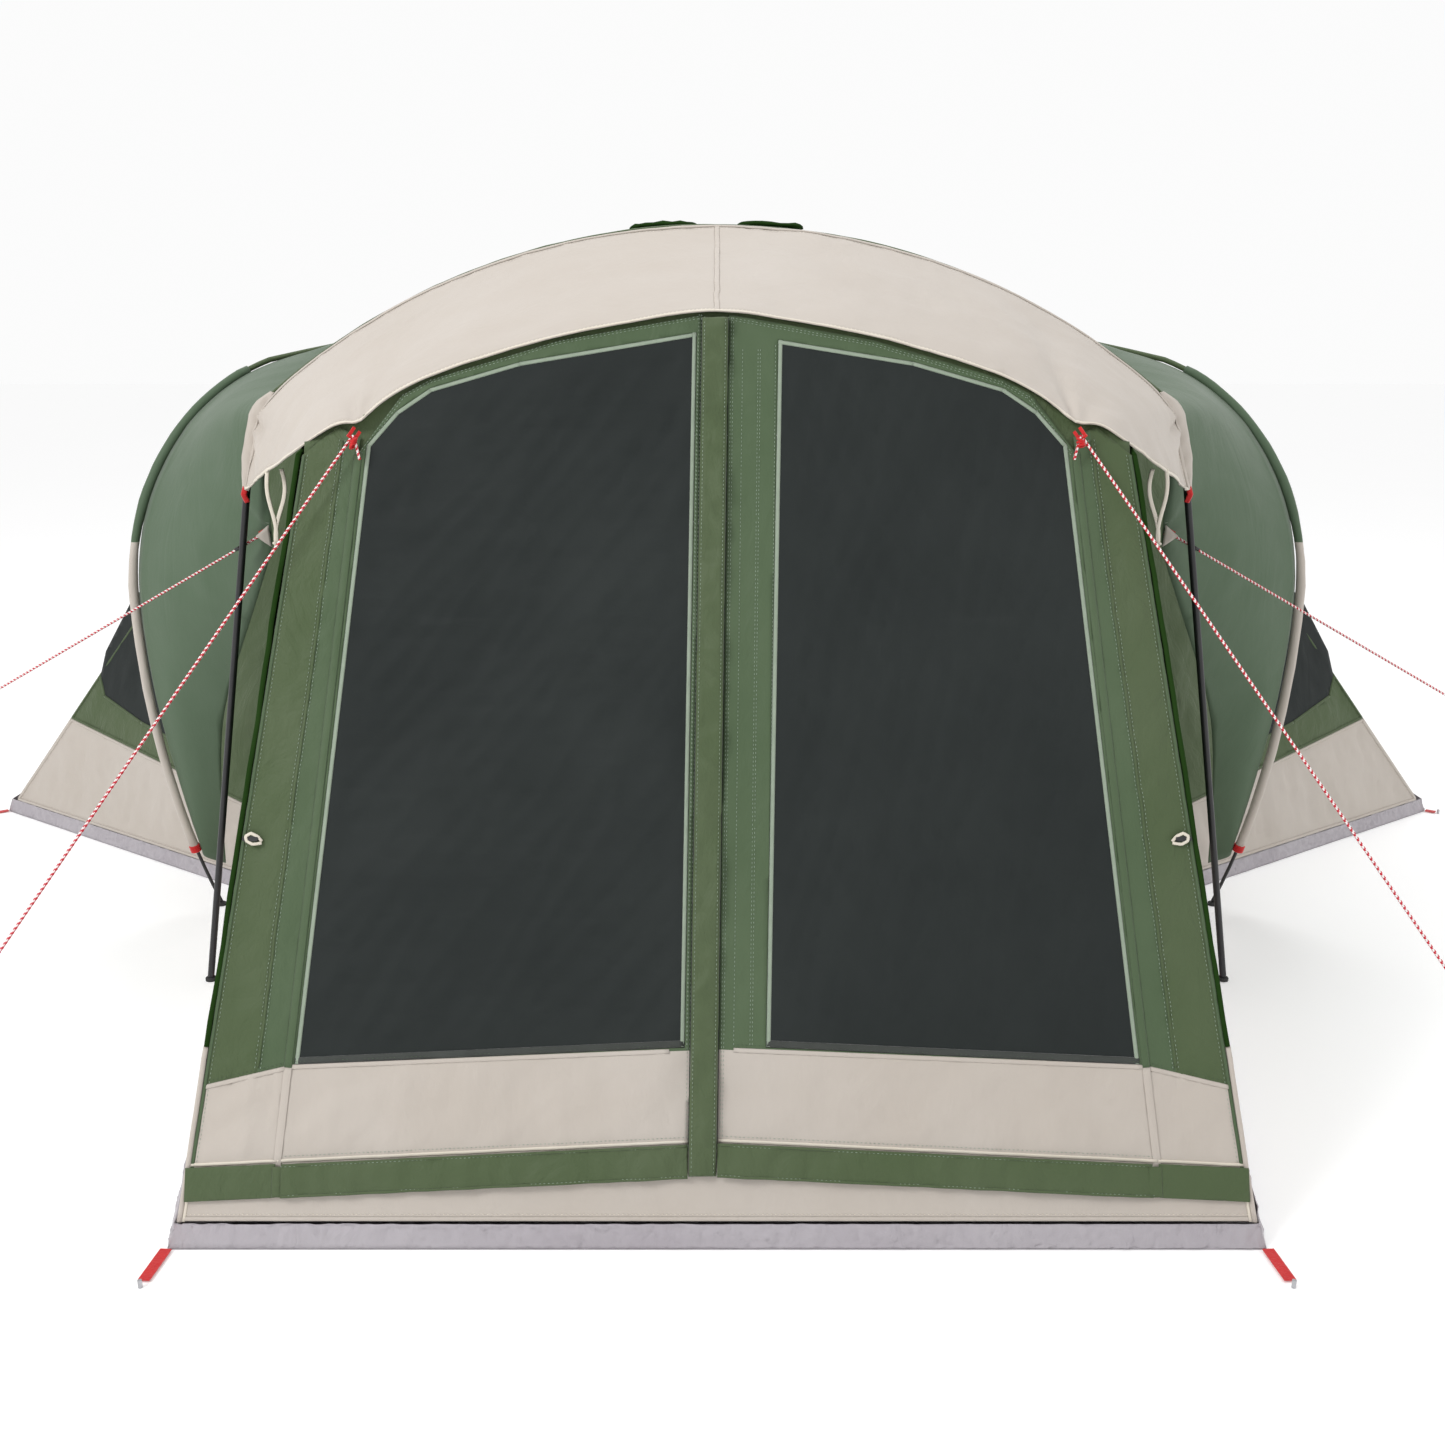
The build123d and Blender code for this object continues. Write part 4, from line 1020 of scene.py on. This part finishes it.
def rays(rest, spot, reach, depth, count, seed, axes=(0, 2)):
    """Folds that spread from a point where the cloth is held."""
    a, b = rest[:, axes[0]] - spot[0], rest[:, axes[1]] - spot[1]
    far = np.hypot(a, b)
    angle = np.arctan2(b, a)
    return depth * np.exp(-far / reach) * np.minimum(1, far / (reach * 0.25)) * np.sin(count * angle + seed)


def visor_relief(rest, normals):
    total = over(0.3, 0.16, 0.0035, 91, axes=(0, 1), crumple=0.0014)(rest, normals)
    for side in SIDES.values():
        total += rays(rest, (0.776 * side, 1.63), 0.14, 0.006, 7, 1.0)
        total += rays(rest, (1.24 * side, 1.60), 0.16, 0.012, 5, 0.5 * side)
    return total


curved = {}
curved["visor"] = curved_cloth("visor", "visor_cloth", islands("visor")[0], visor_relief, [BEIGE])
curved["roof"] = curved_cloth("roof", "roof_cloth", islands("roof")[0], over(0.4, 0.35, 0.006, 93, axes=(0, 1)),
                              [GREEN])
for part, side_name in zip(islands("roof_vents"), SIDES):
    curved["roof_vent_" + side_name] = curved_cloth("roof_vents", "roof_vent_" + side_name, part,
                                                    over(0.06, 0.06, 0.001, 95), [DEEP_GREEN_WITH_PAINTED_SHADE], levels=2)


def hood_relief(rest, normals):
    total = over(0.5, 0.4, 0.004, 97, axes=(1, 2), crumple=0.001)(rest, normals)
    for side in SIDES.values():
        total += rays(rest, (1.217 * side, 1.311), 0.16, 0.008, 6, 1.2)
    return total


for side_name, side in SIDES.items():
    node = "side_hood_" + side_name
    curved[node] = curved_cloth(node, node + "_cloth", islands(node)[0], hood_relief, [SAGE])
    node = "bay_side_wall_" + side_name
    # the bay side walls take the dark green with painted shade, standing for the shadow under the hood
    curved[node] = curved_cloth(node, node + "_cloth", islands(node)[0],
                                over(0.22, 0.5, 0.007, 99 + side, axes=(1, 2), crumple=0.003), [DEEP_GREEN_WITH_PAINTED_SHADE])
for node, relief, material in (
        ("bay_mudwalls", over(0.16, 0.4, 0.004, 103, axes=(1, 2)), BEIGE),
        ("shoulder_panels", over(0.4, 0.4, 0.007, 105, axes=(0, 1)), GREEN),
        ("rear_corner_panels", over(0.25, 0.5, 0.007, 107, axes=(0, 2)), GREEN)):
    for part, side_name in zip(islands(node), SIDES):
        name = node[:-1] + "_" + side_name
        curved[name] = curved_cloth(node, name, part, relief, [material])
for part in islands("rear_mudwall"):
    curved["rear_mudwall"] = curved_cloth("rear_mudwall", "rear_mudwall_cloth", part,
                                          over(0.15, 0.3, 0.004, 109), [BEIGE])


# the turned-up edge of the floor
for part in islands("bathtub_edge"):
    for axis in (0, 1):
        normal = Vector((1 - axis, axis, 0))
        for k in range(-96, 97):
            bmesh.ops.bisect_plane(part, geom=part.verts[:] + part.edges[:] + part.faces[:], dist=1e-5,
                                   plane_co=normal * (k * 0.03 + 0.011), plane_no=normal)
    curved_cloth("bathtub_edge", "bathtub_edge_cloth", part, over(0.05, 0.05, 0.0022, 111, crumple=0.0018),
                 [GROUND], levels=2, kind="SIMPLE", rim_of=lambda f: abs(f.normal.z) > 0.9, height=0.05)
flat_cloth("groundsheet", "groundsheet_cloth", islands("groundsheet")[0],
           lambda x, y, z, edge, u, v: -0.0004 * fade(edge, 0.05) * (1 + waves(u / 0.2, v / 0.3, 113)),
           [GROUND], cell=0.12, held="laid")
BAND_TOP = 1.22
for part, side_name in zip(islands("pole_sleeves"), SIDES):
    part.normal_update()
    rest = np.array([tuple(v.co) for v in part.verts])
    normals = np.array([tuple(v.normal) for v in part.verts])
    gathers = 0.0011 * waves(rest[:, 2] / 0.02, rest[:, 0] / 0.03 + rest[:, 1] / 0.03, 115)
    slim = -0.0008 - 0.0062 * np.clip((rest[:, 2] - 1.1) / 0.25, 0, 1)
    for vert, p in zip(part.verts, rest + normals * (gathers + slim)[:, None]):
        vert.co = p
    bmesh.ops.bisect_plane(part, geom=part.verts[:] + part.edges[:] + part.faces[:], dist=1e-5,
                           plane_co=(0, 0, BAND_TOP), plane_no=(0, 0, 1))
    for f in part.faces:
        f.material_index = 1 if f.calc_center_median().z > BAND_TOP else 0
    piece = from_bmesh("pole_sleeve_" + side_name, part, [BEIGE, SAGE])
    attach(piece, "root")
    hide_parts("pole_sleeves")
for node in ("corner_webbing", "guy_tabs"):
    for place in NODES[node].material_slots:
        place.material = RED


# ---------------------------------------------------------------- hems, piping and stitches
SEAM_TAPE = cloth_material("seam_tape", (0.3, 0.36, 0.28), (0.25, 0.31, 0.235), threads=600.0, drift=30.0,
                           crease_scale=50.0)
STITCH = dict(length=0.0052, width=0.0012, height=0.0006)


def low_and_level(limit):
    return lambda middle, level: level > 0.9 and middle.z < limit


for side_name, side in SIDES.items():
    leaf, mesh = panels["door_leaf_" + side_name], panels["door_mesh_" + side_name]
    strip, flap = panels["front_side_strip_" + side_name], panels["hem_storm_flap_" + side_name]
    inner = {"left": (-0.0835, 0.0155), "right": (0.0185, 0.0155)}[side_name]

    def leaf_trims(pile):
        banded(pile, mesh.runs(0.004, lambda middle, level: middle.z > 0.42, lift=0.0004), 0.009, 0.0014, 0)
        banded(pile, mesh.runs(0.006, low_and_level(0.42), lift=0.0004), 0.014, 0.0014, 4)
        hem = leaf.runs(0.017, low_and_level(0.26), lift=0.0003)
        banded(pile, hem, 0.008, 0.0018, 1)
        banded(pile, leaf.runs(0.006, low_and_level(0.26), lift=0.0003), 0.009, 0.0014, 2)
        sewn(pile, leaf.runs(0.026, low_and_level(0.26), lift=0.0006), 3, **STITCH)
        edge = leaf.runs(0.005, lambda middle, level: level < 0.4 and abs(middle.x) < 0.2, lift=0.0003)
        sewn(pile, edge, 3, offsets=(0.0, 0.005), **STITCH)
        head = leaf.runs(0.007, lambda middle, level: level > 0.5 and middle.z > 1.5, lift=0.0004)
        sewn(pile, head, 3, offsets=(0.0, 0.005), **STITCH)
        low, high = 0.39, 1.80
        offsets = (0.0, 0.034, 0.039, 0.072) if side_name == "right" else (0.004,)
        for offset in offsets:
            spots = [wall_point(inner[0] + inner[1] * z + 0.01 + offset, z) for z in (low, high)]
            sewn(pile, [leaf.drawn(*spots, lift=0.0004)], 3, **STITCH)
        across = [wall_point(x, splash_top(x)) for x in (inner[0] + side * 0.016, side * 0.886)]
        banded(pile, [leaf.drawn(*across, lift=0.0004)], 0.010, 0.0012, 2)
        above = [p + Vector(WALL_UP) * 0.011 for p in across]
        sewn(pile, [leaf.drawn(*above, lift=0.0004)], 5, **STITCH)

    trimmed("door_seams_" + side_name, ["door_leaf_" + side_name + "_cloth", "door_mesh_" + side_name + "_cloth"],
            "door_" + side_name, [SEAM_TAPE, CREAM, BEIGE, THREAD_GREEN, TAPE, THREAD_DARK], leaf_trims)

    def strip_trims(pile):
        seam = [wall_point(side * seam_x(z), z) for z in (0.345, 1.6)]
        banded(pile, [strip.drawn(*seam, lift=0.0003)], 0.006, 0.0018, 0)
        sewn(pile, [strip.drawn(*seam, lift=0.0012)], 3, offsets=(-0.006, 0.006), **STITCH)
        outer = strip.runs(0.004, lambda middle, level: level < 0.4 and abs(middle.x) > 0.95 - 0.06, lift=0.0004)
        outer = [run for run in outer if abs(run[0][:, 0]).max() > 1.0]
        banded(pile, outer, 0.008, 0.0016, 4)
        sewn(pile, strip.runs(0.012, lambda middle, level: level < 0.4 and abs(middle.x) > 0.9, lift=0.0004), 3,
             **STITCH)
        banded(pile, strip.runs(0.017, low_and_level(0.26), lift=0.0003), 0.008, 0.0018, 1)
        banded(pile, strip.runs(0.006, low_and_level(0.26), lift=0.0003), 0.009, 0.0014, 2)
        across = [wall_point(side * x, splash_top(x)) for x in (0.9, 1.066)]
        banded(pile, [strip.drawn(*across, lift=0.0004)], 0.010, 0.0012, 2)
        above = [p + Vector(WALL_UP) * 0.011 for p in across]
        sewn(pile, [strip.drawn(*above, lift=0.0004)], 5, **STITCH)

    trimmed("side_strip_seams_" + side_name, ["front_side_strip_" + side_name + "_cloth"], "root",
            [GREEN, CREAM, BEIGE, THREAD_GREEN, FRAME_GREEN, THREAD_DARK], strip_trims)

    def flap_trims(pile):
        sewn(pile, flap.runs(0.005, lambda middle, level: level > 0.9, lift=0.0004), 0, **STITCH)
        banded(pile, flap.runs(0.003, low_and_level(0.5), lift=0.0001), 0.006, 0.0011, 1)

    trimmed("storm_flap_seams_" + side_name, ["hem_storm_flap_" + side_name + "_cloth"], "door_" + side_name,
            [THREAD_GREEN, GREEN], flap_trims)

    def lap(pile):
        line = resampled([wall_point(side * 0.9035, z, 0.0102) for z in (0.1, 0.158)], 0.006)
        banded(pile, [(line, np.tile(np.array(WALL_OUT), (len(line), 1)))], 0.028, 0.0012, 0)

    trimmed("hem_flap_lap_" + side_name, ["hem_storm_flap_" + side_name + "_cloth"], "door_" + side_name, [GREEN],
            lap)

    def hinge_lap(pile):
        for low, high, slot in ((0.15, 0.345, 1), (0.345, 1.575, 0)):
            line = resampled([wall_point(side * (0.925 - 0.0923 * z), z, 0.0012) for z in (low, high)], 0.012)
            wobble = 0.0004 * waves(line[:, 2] / 0.03, line[:, 2] * 0, 117)
            ups = np.tile(np.array(WALL_OUT), (len(line), 1))
            banded(pile, [(line + ups * wobble[:, None], ups)], 0.017, 0.0012 - 0.0006 * slot, slot)

    # points either side of the hinge line; given them, the lap is baked in place and not attached to the door
    hinge_line = Vector(JOINTS[f"door_{side_name}_hinge"]["axis"])
    aside = WALL_OUT.cross(hinge_line).normalized()
    aside = aside if aside.x * side > 0 else -aside
    on_hinge = wall_point(side * (0.925 - 0.0923 * 0.8), 0.8)
    bend = [tuple(on_hinge + aside * d) for d in (0.0075, -0.0065)]
    trimmed("hinge_lap_" + side_name, ["front_side_strip_" + side_name + "_cloth"], "door_" + side_name,
            [FRAME_GREEN, BEIGE], hinge_lap, bend)

flap = panels["centre_storm_flap"]
trimmed("centre_flap_seams", ["centre_storm_flap_cloth"], "centre_flap", [THREAD_GREEN],
        lambda pile: sewn(pile, flap.runs(0.006, lambda middle, level: level < 0.4, lift=0.0005), 0, **STITCH))
sill = panels["front_sill"]
trimmed("front_sill_seams", ["front_sill_cloth"], "root", [BEIGE, THREAD_LIGHT, CREAM],
        lambda pile: (banded(pile, sill.runs(0.005, low_and_level(0.1), lift=0.0003), 0.010, 0.0016, 0),
                      sewn(pile, sill.runs(0.014, low_and_level(0.1), lift=0.0004), 1, **STITCH),
                      banded(pile, sill.runs(0.004, lambda m, level: level < 0.9, lift=0.0003), 0.007, 0.002, 2)))

# a header behind the doors, up to the brim
visor_sides, visor_tree = curved["visor"]
EAVE = [(0.0, 1.884), (0.345, 1.824), (0.627, 1.741), (0.735, 1.684), (0.776, 1.640), (0.826, 1.640),
        (0.905, 1.588)]
xs = np.linspace(-0.9, 0.9, 121)
rows = []
for x in xs:
    eave = float(np.interp(abs(x), *zip(*EAVE)))
    start = wall_point(x, eave - 0.075, -0.0075)
    hit = visor_tree.ray_cast(start, WALL_UP, 0.3)
    height = min(hit[3] - 0.004 if hit[0] is not None else 0.09, 0.13)
    rows.append([start + WALL_UP * height * t for t in np.linspace(0, 1, 7)])
points = [p for row in rows for p in row]
faces = [(i * 7 + j, (i + 1) * 7 + j, (i + 1) * 7 + j + 1, i * 7 + j + 1) for i in range(120) for j in range(6)]
header = new_object("wall_header", points, faces, [GREEN])
bm = bmesh.new()
bm.from_mesh(header.data)
header_area = sum(f.calc_area() for f in bm.faces)
if bm.faces[:][0].normal.dot(WALL_OUT) < 0:
    bmesh.ops.reverse_faces(bm, faces=bm.faces[:])
thickened(bm)
bm.to_mesh(header.data)
bm.free()
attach(header, "root")
SHEETS["wall_header"] = dict(piece=header, flat=(round(header_area / 1.9 * 1.05, 3), 1.9), held="stretched",
                             area=header_area, rests_on=[], with_pieces=[])


def edge_run(sides, tree, point, distance, lift=0.0006):
    line, normals = side_near(sides, point)
    return [inset(line, normals, tree, distance, lift)]


def visor_trims(pile):
    eave = (0.0, -1.95, 1.884)
    crest = (0.0, -1.27, 2.1)
    banded(pile, edge_run(visor_sides, visor_tree, eave, 0.004), 0.009, 0.0022, 1)
    sewn(pile, edge_run(visor_sides, visor_tree, eave, 0.014), 2, **STITCH)
    banded(pile, edge_run(visor_sides, visor_tree, crest, 0.007), 0.014, 0.003, 0)
    sewn(pile, edge_run(visor_sides, visor_tree, crest, 0.022), 2, **STITCH)
    middle = []
    for t in np.linspace(0.02, 0.98, 80):
        spot, normal, _, _ = visor_tree.find_nearest(Vector((0, -1.945 + 0.67 * t, 1.884 + 0.216 * t)))
        normal = normal if normal.dot(spot - TENT_MIDDLE) > 0 else -normal
        middle.append((np.array(spot + normal * 0.0005), np.array(normal)))
    line = np.array([p for p, _ in middle])
    ups = np.array([n for _, n in middle])
    banded(pile, [(line, ups)], 0.013, 0.0016, 0)
    sewn(pile, [(line + ups * 0.0012, ups)], 2, offsets=(-0.0045, 0.0045), **STITCH)


trimmed("visor_seams", ["visor_cloth"], "root", [BEIGE, CREAM, THREAD_LIGHT], visor_trims)


# piping that closes the seams between the panels
def seam_piping(name, sheet_name, lines, radius, material):
    pile = Pile()
    piped(pile, lines, radius)
    SHEETS[sheet_name]["with_pieces"].append(pile.made(name, [material], "root"))


for name, panel in panels.items():
    if not name.startswith(("wing", "rear")) or name.startswith("wing_window"):
        continue
    sheet = name if name in SHEETS else name + "_cloth"
    if sheet not in SHEETS:
        continue
    beige, netting = "mudwall" in name, "window" in name
    radius = 0.0035 if netting else 0.0055
    seam_piping(name + "_piping", sheet, panel.runs(0.001, lift=-0.001), radius,
                BEIGE if beige else GREEN)
for name, (edges, _) in curved.items():
    if name.startswith(("visor", "roof_vent", "side_hood")):
        continue
    sheet = name if name in SHEETS else name + "_cloth"
    beige = "mudwall" in name
    # the bay piping takes the same painted shade as its walls
    material = BEIGE if beige else DEEP_GREEN_WITH_PAINTED_SHADE if name.startswith("bay") else GREEN
    seam_piping(name + "_piping", sheet, [(line, ups) for line, ups in edges if len(line) > 3], 0.0055,
                material)


# ---------------------------------------------------------------- small fittings
def ring(pile, centre, normal, radius, thick, slot=0):
    """A round loop of cord or webbing."""
    normal = Vector(normal).normalized()
    a = normal.orthogonal().normalized()
    b = normal.cross(a)
    turn = np.linspace(0, 2 * np.pi, 25)[:, None]
    line = np.array(centre) + radius * (np.cos(turn) * np.array(a) + np.sin(turn) * np.array(b))
    pile.add(*swept(line, np.tile(np.array(normal), (25, 1)), round_profile(thick)), slot)


def fittings(pile):
    for side in SIDES.values():
        # knots of the front guys, with their loose ends
        knot = np.array((side * 0.7835, -2.0535, 1.6035))
        for k in range(3):
            ring(pile, knot + np.array((side * 0.001 * k, -0.001 * k, -0.006 * k)),
                 (side * 0.5 - 0.3 * k, 0.2 * k, 1.0), 0.0072, 0.0029, 0)
        # red tabs at the ends of the brim
        tip = np.array((side * 1.2615, -1.292, 1.432))
        drop = resampled([tip, tip + np.array((side * 0.006, -0.003, -0.02)),
                          tip + np.array((0, 0.006, -0.042))], 0.004)
        pile.add(*swept(drop, np.tile((0.0, -1.0, 0.1), (len(drop), 1)), ribbon_profile(0.016, 0.0016)), 0)
        # tape loops that hold the door toggles
        spots = [wall_point(side * x, z, lift) for x, z, lift in (
            (0.962, 0.785, 0.003), (0.97, 0.795, 0.008), (0.983, 0.801, 0.012), (0.994, 0.795, 0.012),
            (0.993, 0.786, 0.009), (0.98, 0.779, 0.008), (0.962, 0.782, 0.004))]
        line = resampled(spots, 0.004)
        pile.add(*swept(line, np.tile(np.array(WALL_OUT), (len(line), 1)), ribbon_profile(0.007, 0.0015)), 1)


for side_name, side in SIDES.items():
    # the ends of the brim, folded over the corners of the frame
    run = [(1.175, -1.2905, 1.681), (1.203, -1.2925, 1.655), (1.222, -1.2945, 1.62), (1.236, -1.295, 1.56),
           (1.252, -1.295, 1.49), (1.262, -1.2945, 1.44), (1.2655, -1.294, 1.424)]
    line = resampled([(side * x, y, z) for x, y, z in run], 0.008)
    widths = np.interp(np.linspace(0, 1, len(line)), (0, 0.2, 0.7, 1), (0.008, 0.03, 0.034, 0.014))
    out = np.array((side, 0.0, 0.25)) / math.hypot(1, 0.25)
    rows, count = [], 9
    for k, (p, width) in enumerate(zip(line, widths)):
        for t in np.linspace(-0.9, 0.6, count):
            back = 0.022 * max(t, 0) ** 2 + 0.0012 * math.sin(k * 0.9 + 4 * t)
            rows.append(p + out * width * t + np.array((0, back, 0)))
    faces = [(i * count + j, i * count + j + 1, (i + 1) * count + j + 1, (i + 1) * count + j)
             for i in range(len(line) - 1) for j in range(count - 1)]
    ear = new_object("visor_ear_" + side_name, rows, faces, [BEIGE])
    bm = bmesh.new()
    bm.from_mesh(ear.data)
    if sum((f.normal.y for f in bm.faces)) > 0:
        bmesh.ops.reverse_faces(bm, faces=bm.faces[:])
    thickened(bm)
    bm.to_mesh(ear.data)
    bm.free()
    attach(ear, "root")
    SHEETS["visor_cloth"]["with_pieces"].append(ear)
    # the beige corner of the hood, where its guy is tied
    corners = [np.array((side * x, y, z)) for x, y, z in (
        (1.252, -1.268, 1.297), (1.216, -1.266, 1.327), (1.212, -1.264, 1.266))]
    grid, steps = [], 6
    index = {}
    for i in range(steps + 1):
        for j in range(steps + 1 - i):
            a, b = i / steps, j / steps
            spot = corners[0] * (1 - a - b) + corners[1] * a + corners[2] * b
            index[i, j] = len(grid)
            grid.append(spot + np.array((0, -0.002 * math.sin(3 * a + 4 * b), 0)))
    front = [(index[i, j], index[i + 1, j], index[i, j + 1]) for i in range(steps) for j in range(steps - i)]
    front += [(index[i + 1, j], index[i + 1, j + 1], index[i, j + 1]) for i in range(steps - 1)
              for j in range(steps - 1 - i)]
    corner_piece = new_object("hood_corner_" + side_name, grid, front, [BEIGE])
    bm = bmesh.new()
    bm.from_mesh(corner_piece.data)
    if sum((f.normal.y for f in bm.faces)) > 0:
        bmesh.ops.reverse_faces(bm, faces=bm.faces[:])
    thickened(bm)
    bm.to_mesh(corner_piece.data)
    bm.free()
    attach(corner_piece, "root")
    SHEETS["side_hood_" + side_name + "_cloth"]["with_pieces"].append(corner_piece)

pile = Pile()
fittings(pile)
pile.made("knots_and_tabs", [RED, CREAM], "root")

for side_name, side in SIDES.items():
    pile = Pile()
    wall_tree = curved["bay_side_wall_" + side_name][1]
    for start, end, sway in ((1.096, 1.09, 0.006), (1.063, 1.086, -0.008)):
        line = []
        for t in np.linspace(0, 1, 26):
            p = Vector((side * (start + (end - start) * t ** 1.6 + sway * math.sin(6 * t)), -1.64, 1.508 - 0.19 * t))
            hit = wall_tree.ray_cast(Vector((side * 2.0, p.y, p.z)), Vector((-side, 0, 0)))
            if hit[0] is not None:
                p.x = side * max(abs(p.x), abs(hit[0].x) + 0.016)
            line.append(tuple(p))
        line = np.array(line)
        facing = np.tile((0.3 * side, -1.0, 0.0), (len(line), 1))
        pile.add(*swept(line, facing, ribbon_profile(0.012, 0.0014)), 0)
    ring(pile, line[-2], (0.2, 0.3, 1), 0.006, 0.0032)
    pile.made("tie_tapes_" + side_name, [CREAM], "root")

# green sleeves on the parts of the dome poles that no other cloth covers
SLEEVE_FROM = 1.2
for side_name in SIDES:
    part = islands("dome_pole_" + side_name)[0]
    part.normal_update()
    for v in part.verts:
        v.co += v.normal * 0.0028
    bmesh.ops.delete(part, geom=[v for v in part.verts if v.co.z < SLEEVE_FROM], context="VERTS")
    holes = [e for e in part.edges if e.is_boundary]
    bmesh.ops.holes_fill(part, edges=holes)
    piece = from_bmesh("pole_cover_" + side_name, part, [GREEN])
    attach(piece, "root")

# red webbing round the lower ends of the beige sleeves
pile = Pile()
for part in islands("pole_sleeves"):
    low = min(v.co.z for v in part.verts)
    foot = [v.co for v in part.verts if v.co.z < low + 0.03]
    above = [v.co for v in part.verts if low + 0.03 <= v.co.z < low + 0.2]
    a, b = (sum(group, Vector()) / len(group) for group in (foot, above))
    for k in range(4):
        ring(pile, a + (b - a).normalized() * (0.004 + 0.006 * k), b - a, 0.0145, 0.0032)
pile.made("sleeve_end_webbing", [RED], "root")


# ---------------------------------------------------------------- light, floor and the end
world = bpy.data.worlds.new("studio")
world.use_nodes = True
SKY = world.node_tree
facing = add_node(SKY, "ShaderNodeTexCoord")
split = add_node(SKY, "ShaderNodeSeparateXYZ")
shade = add_node(SKY, "ShaderNodeMapRange")
for name, value in (("From Min", -0.6), ("From Max", 0.35), ("To Min", 0.72), ("To Max", 0.97)):
    shade.inputs[name].default_value = value
link(SKY, facing, "Generated", split, "Vector")
link(SKY, split, "Y", shade, "Value")
link(SKY, shade, "Result", SKY.nodes["Background"], "Strength")
SKY.nodes["Background"].inputs["Color"].default_value = (1.0, 1.0, 1.0, 1)
bpy.context.scene.world = world
for name, place, aim, size, power in (
        ("front_soft", (-4.5, -5.5, 5.5), (0, -1, 1.0), 2.2, 230),
        ("side_soft", (6.5, -3.5, 4.0), (0, -0.5, 1.0), 2.5, 60),
        ("top_soft", (0.5, 1.0, 7.5), (0, 0, 0.5), 3.0, 110)):
    data = bpy.data.lights.new(name, "AREA")
    data.size = size
    data.energy = power
    lamp = bpy.data.objects.new(name, data)
    lamp.location = place
    lamp.rotation_euler = (Vector(aim) - Vector(place)).to_track_quat("-Z", "Y").to_euler()
    bpy.context.scene.collection.objects.link(lamp)

FLOOR, FLOOR_TREE, FLOOR_SHADER = nodes_of("pale_floor")
tinted(FLOOR_TREE, FLOOR_SHADER, (0.96, 0.96, 0.96), (0.95, 0.95, 0.95), 0.8)
FLOOR_SHADER.inputs["Roughness"].default_value = 1.0
FLOOR_SHADER.inputs["Specular IOR Level"].default_value = 0.0
FLOOR_SHADER.inputs["Emission Color"].default_value = (1.0, 1.0, 1.0, 1)
FLOOR_SHADER.inputs["Emission Strength"].default_value = 0.13
reach = 60.0
floor = new_object("floor", [(-reach, -reach, -0.0008), (reach, -reach, -0.0008), (reach, reach, -0.0008),
                             (-reach, reach, -0.0008)], [(0, 1, 2, 3)], [FLOOR], smooth=False)
bpy.context.scene.view_settings.view_transform = "Standard"
